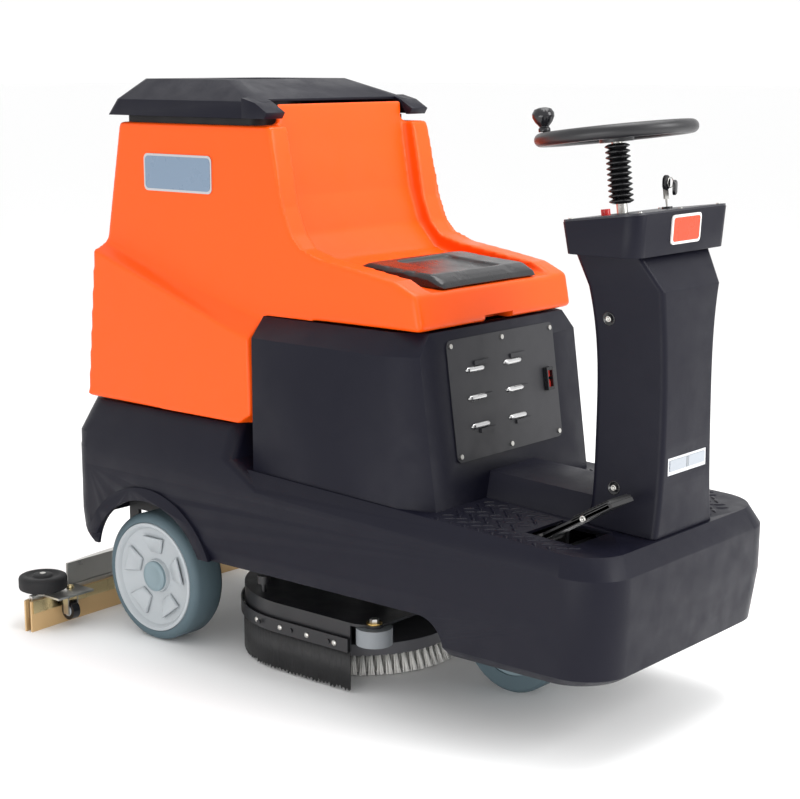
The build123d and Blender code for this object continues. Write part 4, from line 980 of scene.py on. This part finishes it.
def skirt_tuft(work):
    """Flat lock of the bristle skirt, 12 mm wide, with an uneven foot."""
    for i in range(6):
        x = -0.006 + 0.0024 * i
        foot = -0.0885 + 0.0045 * abs(sin(i * 2.3))
        corners = [(x, -0.0011), (x + 0.0021, -0.0011), (x + 0.0021, 0.0011), (x, 0.0011)]
        spread = 0.0004 * (i - 2.5)
        top = [work.verts.new((cx, cy, 0.0)) for cx, cy in corners]
        low = [work.verts.new((cx + spread, cy * 0.8, foot)) for cx, cy in corners]
        for a in range(4):
            b = (a + 1) % 4
            work.faces.new((top[a], top[b], low[b], low[a]))
        work.faces.new(low)
        work.faces.new(list(reversed(top)))


# The locks stand along both straight sides of the skirt and round its half-round rear end.
skirt_top = 0.094
skirt_side_y = 0.2648
lock_pitch = 0.0105
bend_radius = 0.2578
bend_widening = 0.007
bend_locks = 76
skirt_places = []
skirt_turns = []
for side in (-1, 1):
    for step in range(21):
        skirt_places.append((brush_x + 0.197 - step * lock_pitch, side * skirt_side_y, skirt_top))
        skirt_turns.append((0.0, 0.0, 0.0))
bend_x = brush_x - 0.007
for step in range(bend_locks):
    angle = radians(90 + 180 * (step + 0.5) / bend_locks)
    x = bend_x + bend_radius * cos(angle)
    y = (bend_radius + bend_widening) * sin(angle)
    skirt_places.append((x, y, skirt_top))
    skirt_turns.append((0.0, 0.0, angle + pi / 2))
bristle_black = coated("black_bristle", (0.008, 0.008, 0.009), 0.42, grain=1600, bump=0.4)
lock = shape_object("skirt_lock", skirt_tuft)
skirt_hair = repeat("skirt_bristles", skirt_places, skirt_turns, lock, bristle_black, size=0.99,
                    unevenness=0.03)
finish_piece(skirt_hair, bristle_black, "brush_deck", "black_rubber", "deck_skirt")

# ---------------------------------------------------------------- squeegee
# Zinc plated channel with two rubber blades, straps, socket bolts, wall rollers and two casters.
tan_rubber = coated("tan_rubber", (0.60, 0.40, 0.19), 0.5, grain=700, bump=0.15)
strap_gold = coated("strap_gold", (0.66, 0.54, 0.30), 0.3, grain=700, bump=0.05, metallic=1.0)
dress(zinc, "squeegee_frame")
dress(tan_rubber, "squeegee_blades")
dress(strap_gold, "blade_straps")
dress(gloss_black, "caster_wheel_right", "caster_wheel_left")
roller_profile = [(0.002, 0.0), (0.0, 0.040), (0.001, 0.050), (0.004, 0.0555), (0.009, 0.0572),
                  (0.028, 0.0572), (0.033, 0.0550), (0.0355, 0.050), (0.0362, 0.040), (0.0335, 0.036),
                  (0.0335, 0.025), (0.0372, 0.022), (0.0385, 0.018), (0.0385, 0.0)]
hub_profile = [(-0.0108, 0.0), (-0.0108, 0.013), (0.0108, 0.013), (0.0108, 0.0)]
for label in ("right", "left"):
    roller_node = "squeegee_roller_" + label
    low, high = extent(roller_node)
    mid = (low + high) / 2
    roller_foot = Vector((mid.x, mid.y, low.z))
    roller = turned_block("wall_roller_" + label, roller_profile, roller_foot, upward, steps=56)
    finish_piece(smooth(roller, 40), soft_rubber, roller_node, "black_rubber", roller_node)
    low, high = extent("caster_wheel_" + label)
    caster_mid = (low + high) / 2
    caster_hub = turned_block("caster_hub_" + label, hub_profile, caster_mid, leftward, steps=32)
    finish_piece(smooth(caster_hub), wheel_grey, "caster_wheel_" + label, "roller_plastic")
squeegee_bolt_places = []
for side in (-1, 1):
    for x, y in ((-0.722, 0.289), (-0.716, 0.330), (-0.700, 0.220)):
        place, normal = skin_at("squeegee_frame", (x, side * y, 0.3), (0, 0, -1))
        if place:
            squeegee_bolt_places.append(place)
squeegee_bolt_turns = [(0, 0, 0)] * len(squeegee_bolt_places)
squeegee_bolt = shape_object("squeegee_bolt", bolt_shape)
squeegee_bolts = repeat("squeegee_bolts", squeegee_bolt_places, squeegee_bolt_turns, squeegee_bolt,
                        strap_gold, size=1.5)
finish_piece(squeegee_bolts, strap_gold, "squeegee", "zinc_steel")

# ---------------------------------------------------------------- seat pad
# Padded vinyl cushion with a lowered middle, blown up as cloth over its CAD form.
vinyl = coated("black_vinyl", (0.012, 0.012, 0.014), 0.30, grain=260, bump=0.45, vary=0.15)
half_pad = 0.165
half_dip = 0.085
pad_roll = 0.006
pad_outline = at_axle([(520, 880), (524, 898), (546, 905), (640, 897), (720, 892), (750, 880),
                       (758, 869), (726, 867), (640, 872)])
dip_outline = at_axle([(560, 940), (566, 897), (640, 890), (712, 885), (722, 940)])
cushion = centred_block("seat_cushion", pad_outline, half_pad, roll=pad_roll, steps=3)
carve(cushion, centred_block("cushion_dip", dip_outline, half_dip, roll=pad_roll, steps=3))
skin = cushion.modifiers.new("even_mesh", "REMESH")
skin.mode = "VOXEL"
skin.voxel_size = 0.005
bake(cushion)
cloth_frames = 20
most_swell = 0.004
start = [v.co.copy() for v in cushion.data.vertices]
cloth = cushion.modifiers.new("air", "CLOTH")
cloth.settings.use_pressure = True
cloth.settings.uniform_pressure_force = 4.0
cloth.settings.quality = 5
cloth.settings.effector_weights.gravity = 0.0
cloth.settings.tension_stiffness = 40.0
cloth.settings.bending_stiffness = 0.4
cloth.point_cache.frame_start = 1
cloth.point_cache.frame_end = cloth_frames
for frame_number in range(1, cloth_frames + 1):
    bpy.context.scene.frame_set(frame_number)
bake(cushion)
for vertex, place in zip(cushion.data.vertices, start):
    shift = vertex.co - place
    if shift.length > most_swell:
        vertex.co = place + shift.normalized() * most_swell
bpy.context.scene.frame_set(1)
fine = cushion.modifiers.new("fine", "SUBSURF")
fine.levels = 1
fine.render_levels = 1
bake(cushion)
for face in cushion.data.polygons:
    face.use_smooth = True
cushion.data.materials.clear()
cushion.data.materials.append(vinyl)
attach(cushion, "recovery_tank")
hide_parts("seat_pad")

# ---------------------------------------------------------------- floor, light and camera
# Pale studio floor, a bright even room, soft lights from above and from the front, and one camera.
floor_half = 80
floor_corners = [(-floor_half, -floor_half, 0), (floor_half, -floor_half, 0),
                 (floor_half, floor_half, 0), (-floor_half, floor_half, 0)]
floor_mesh = bpy.data.meshes.new("studio_floor")
floor_mesh.from_pydata(floor_corners, [], [(0, 1, 2, 3)])
floor = in_scene("studio_floor", floor_mesh)
floor_white = coated("floor_white", (0.97, 0.97, 0.97), 0.8, bump=0.0, vary=0.002, specular=0.1)
floor_mesh.materials.append(floor_white)

room = bpy.data.worlds.new("studio_room")
bpy.context.scene.world = room
room.use_nodes = True
background = room.node_tree.nodes["Background"]
background.inputs["Color"].default_value = (1.0, 1.0, 1.0, 1.0)
background.inputs["Strength"].default_value = 1.02


def softbox(name, place, aim, size, power):
    """Soft rectangular light that stands at a place and looks at another."""
    lamp = bpy.data.lights.new(name, "AREA")
    lamp.shape = "RECTANGLE"
    lamp.size = size[0]
    lamp.size_y = size[1]
    lamp.energy = power
    holder = in_scene(name, lamp)
    holder.location = place
    holder.rotation_euler = (Vector(aim) - Vector(place)).to_track_quat("-Z", "Y").to_euler()


softbox("top_light", (0.6, 0.6, 4.2), (0.0, 0.0, 0.4), (2.6, 2.6), 100)
softbox("front_light", (4.4, 1.2, 2.6), (0.3, 0.0, 0.7), (2.0, 2.6), 120)
softbox("low_fill", (0.9, -3.6, 0.5), (0.0, 0.0, 0.1), (2.4, 0.8), 38)

camera = bpy.data.cameras.new("camera")
camera.lens = 79.2
camera.sensor_width = 36.0
look_down = 10.91
look_left = 40.26
tripod = in_scene("camera", camera)
tripod.location = (2.5059, -2.9125, 1.3236)
tripod.rotation_euler = (radians(90 - look_down), 0.0, radians(look_left))
bpy.context.scene.camera = tripod
bpy.context.scene.view_settings.view_transform = "Standard"
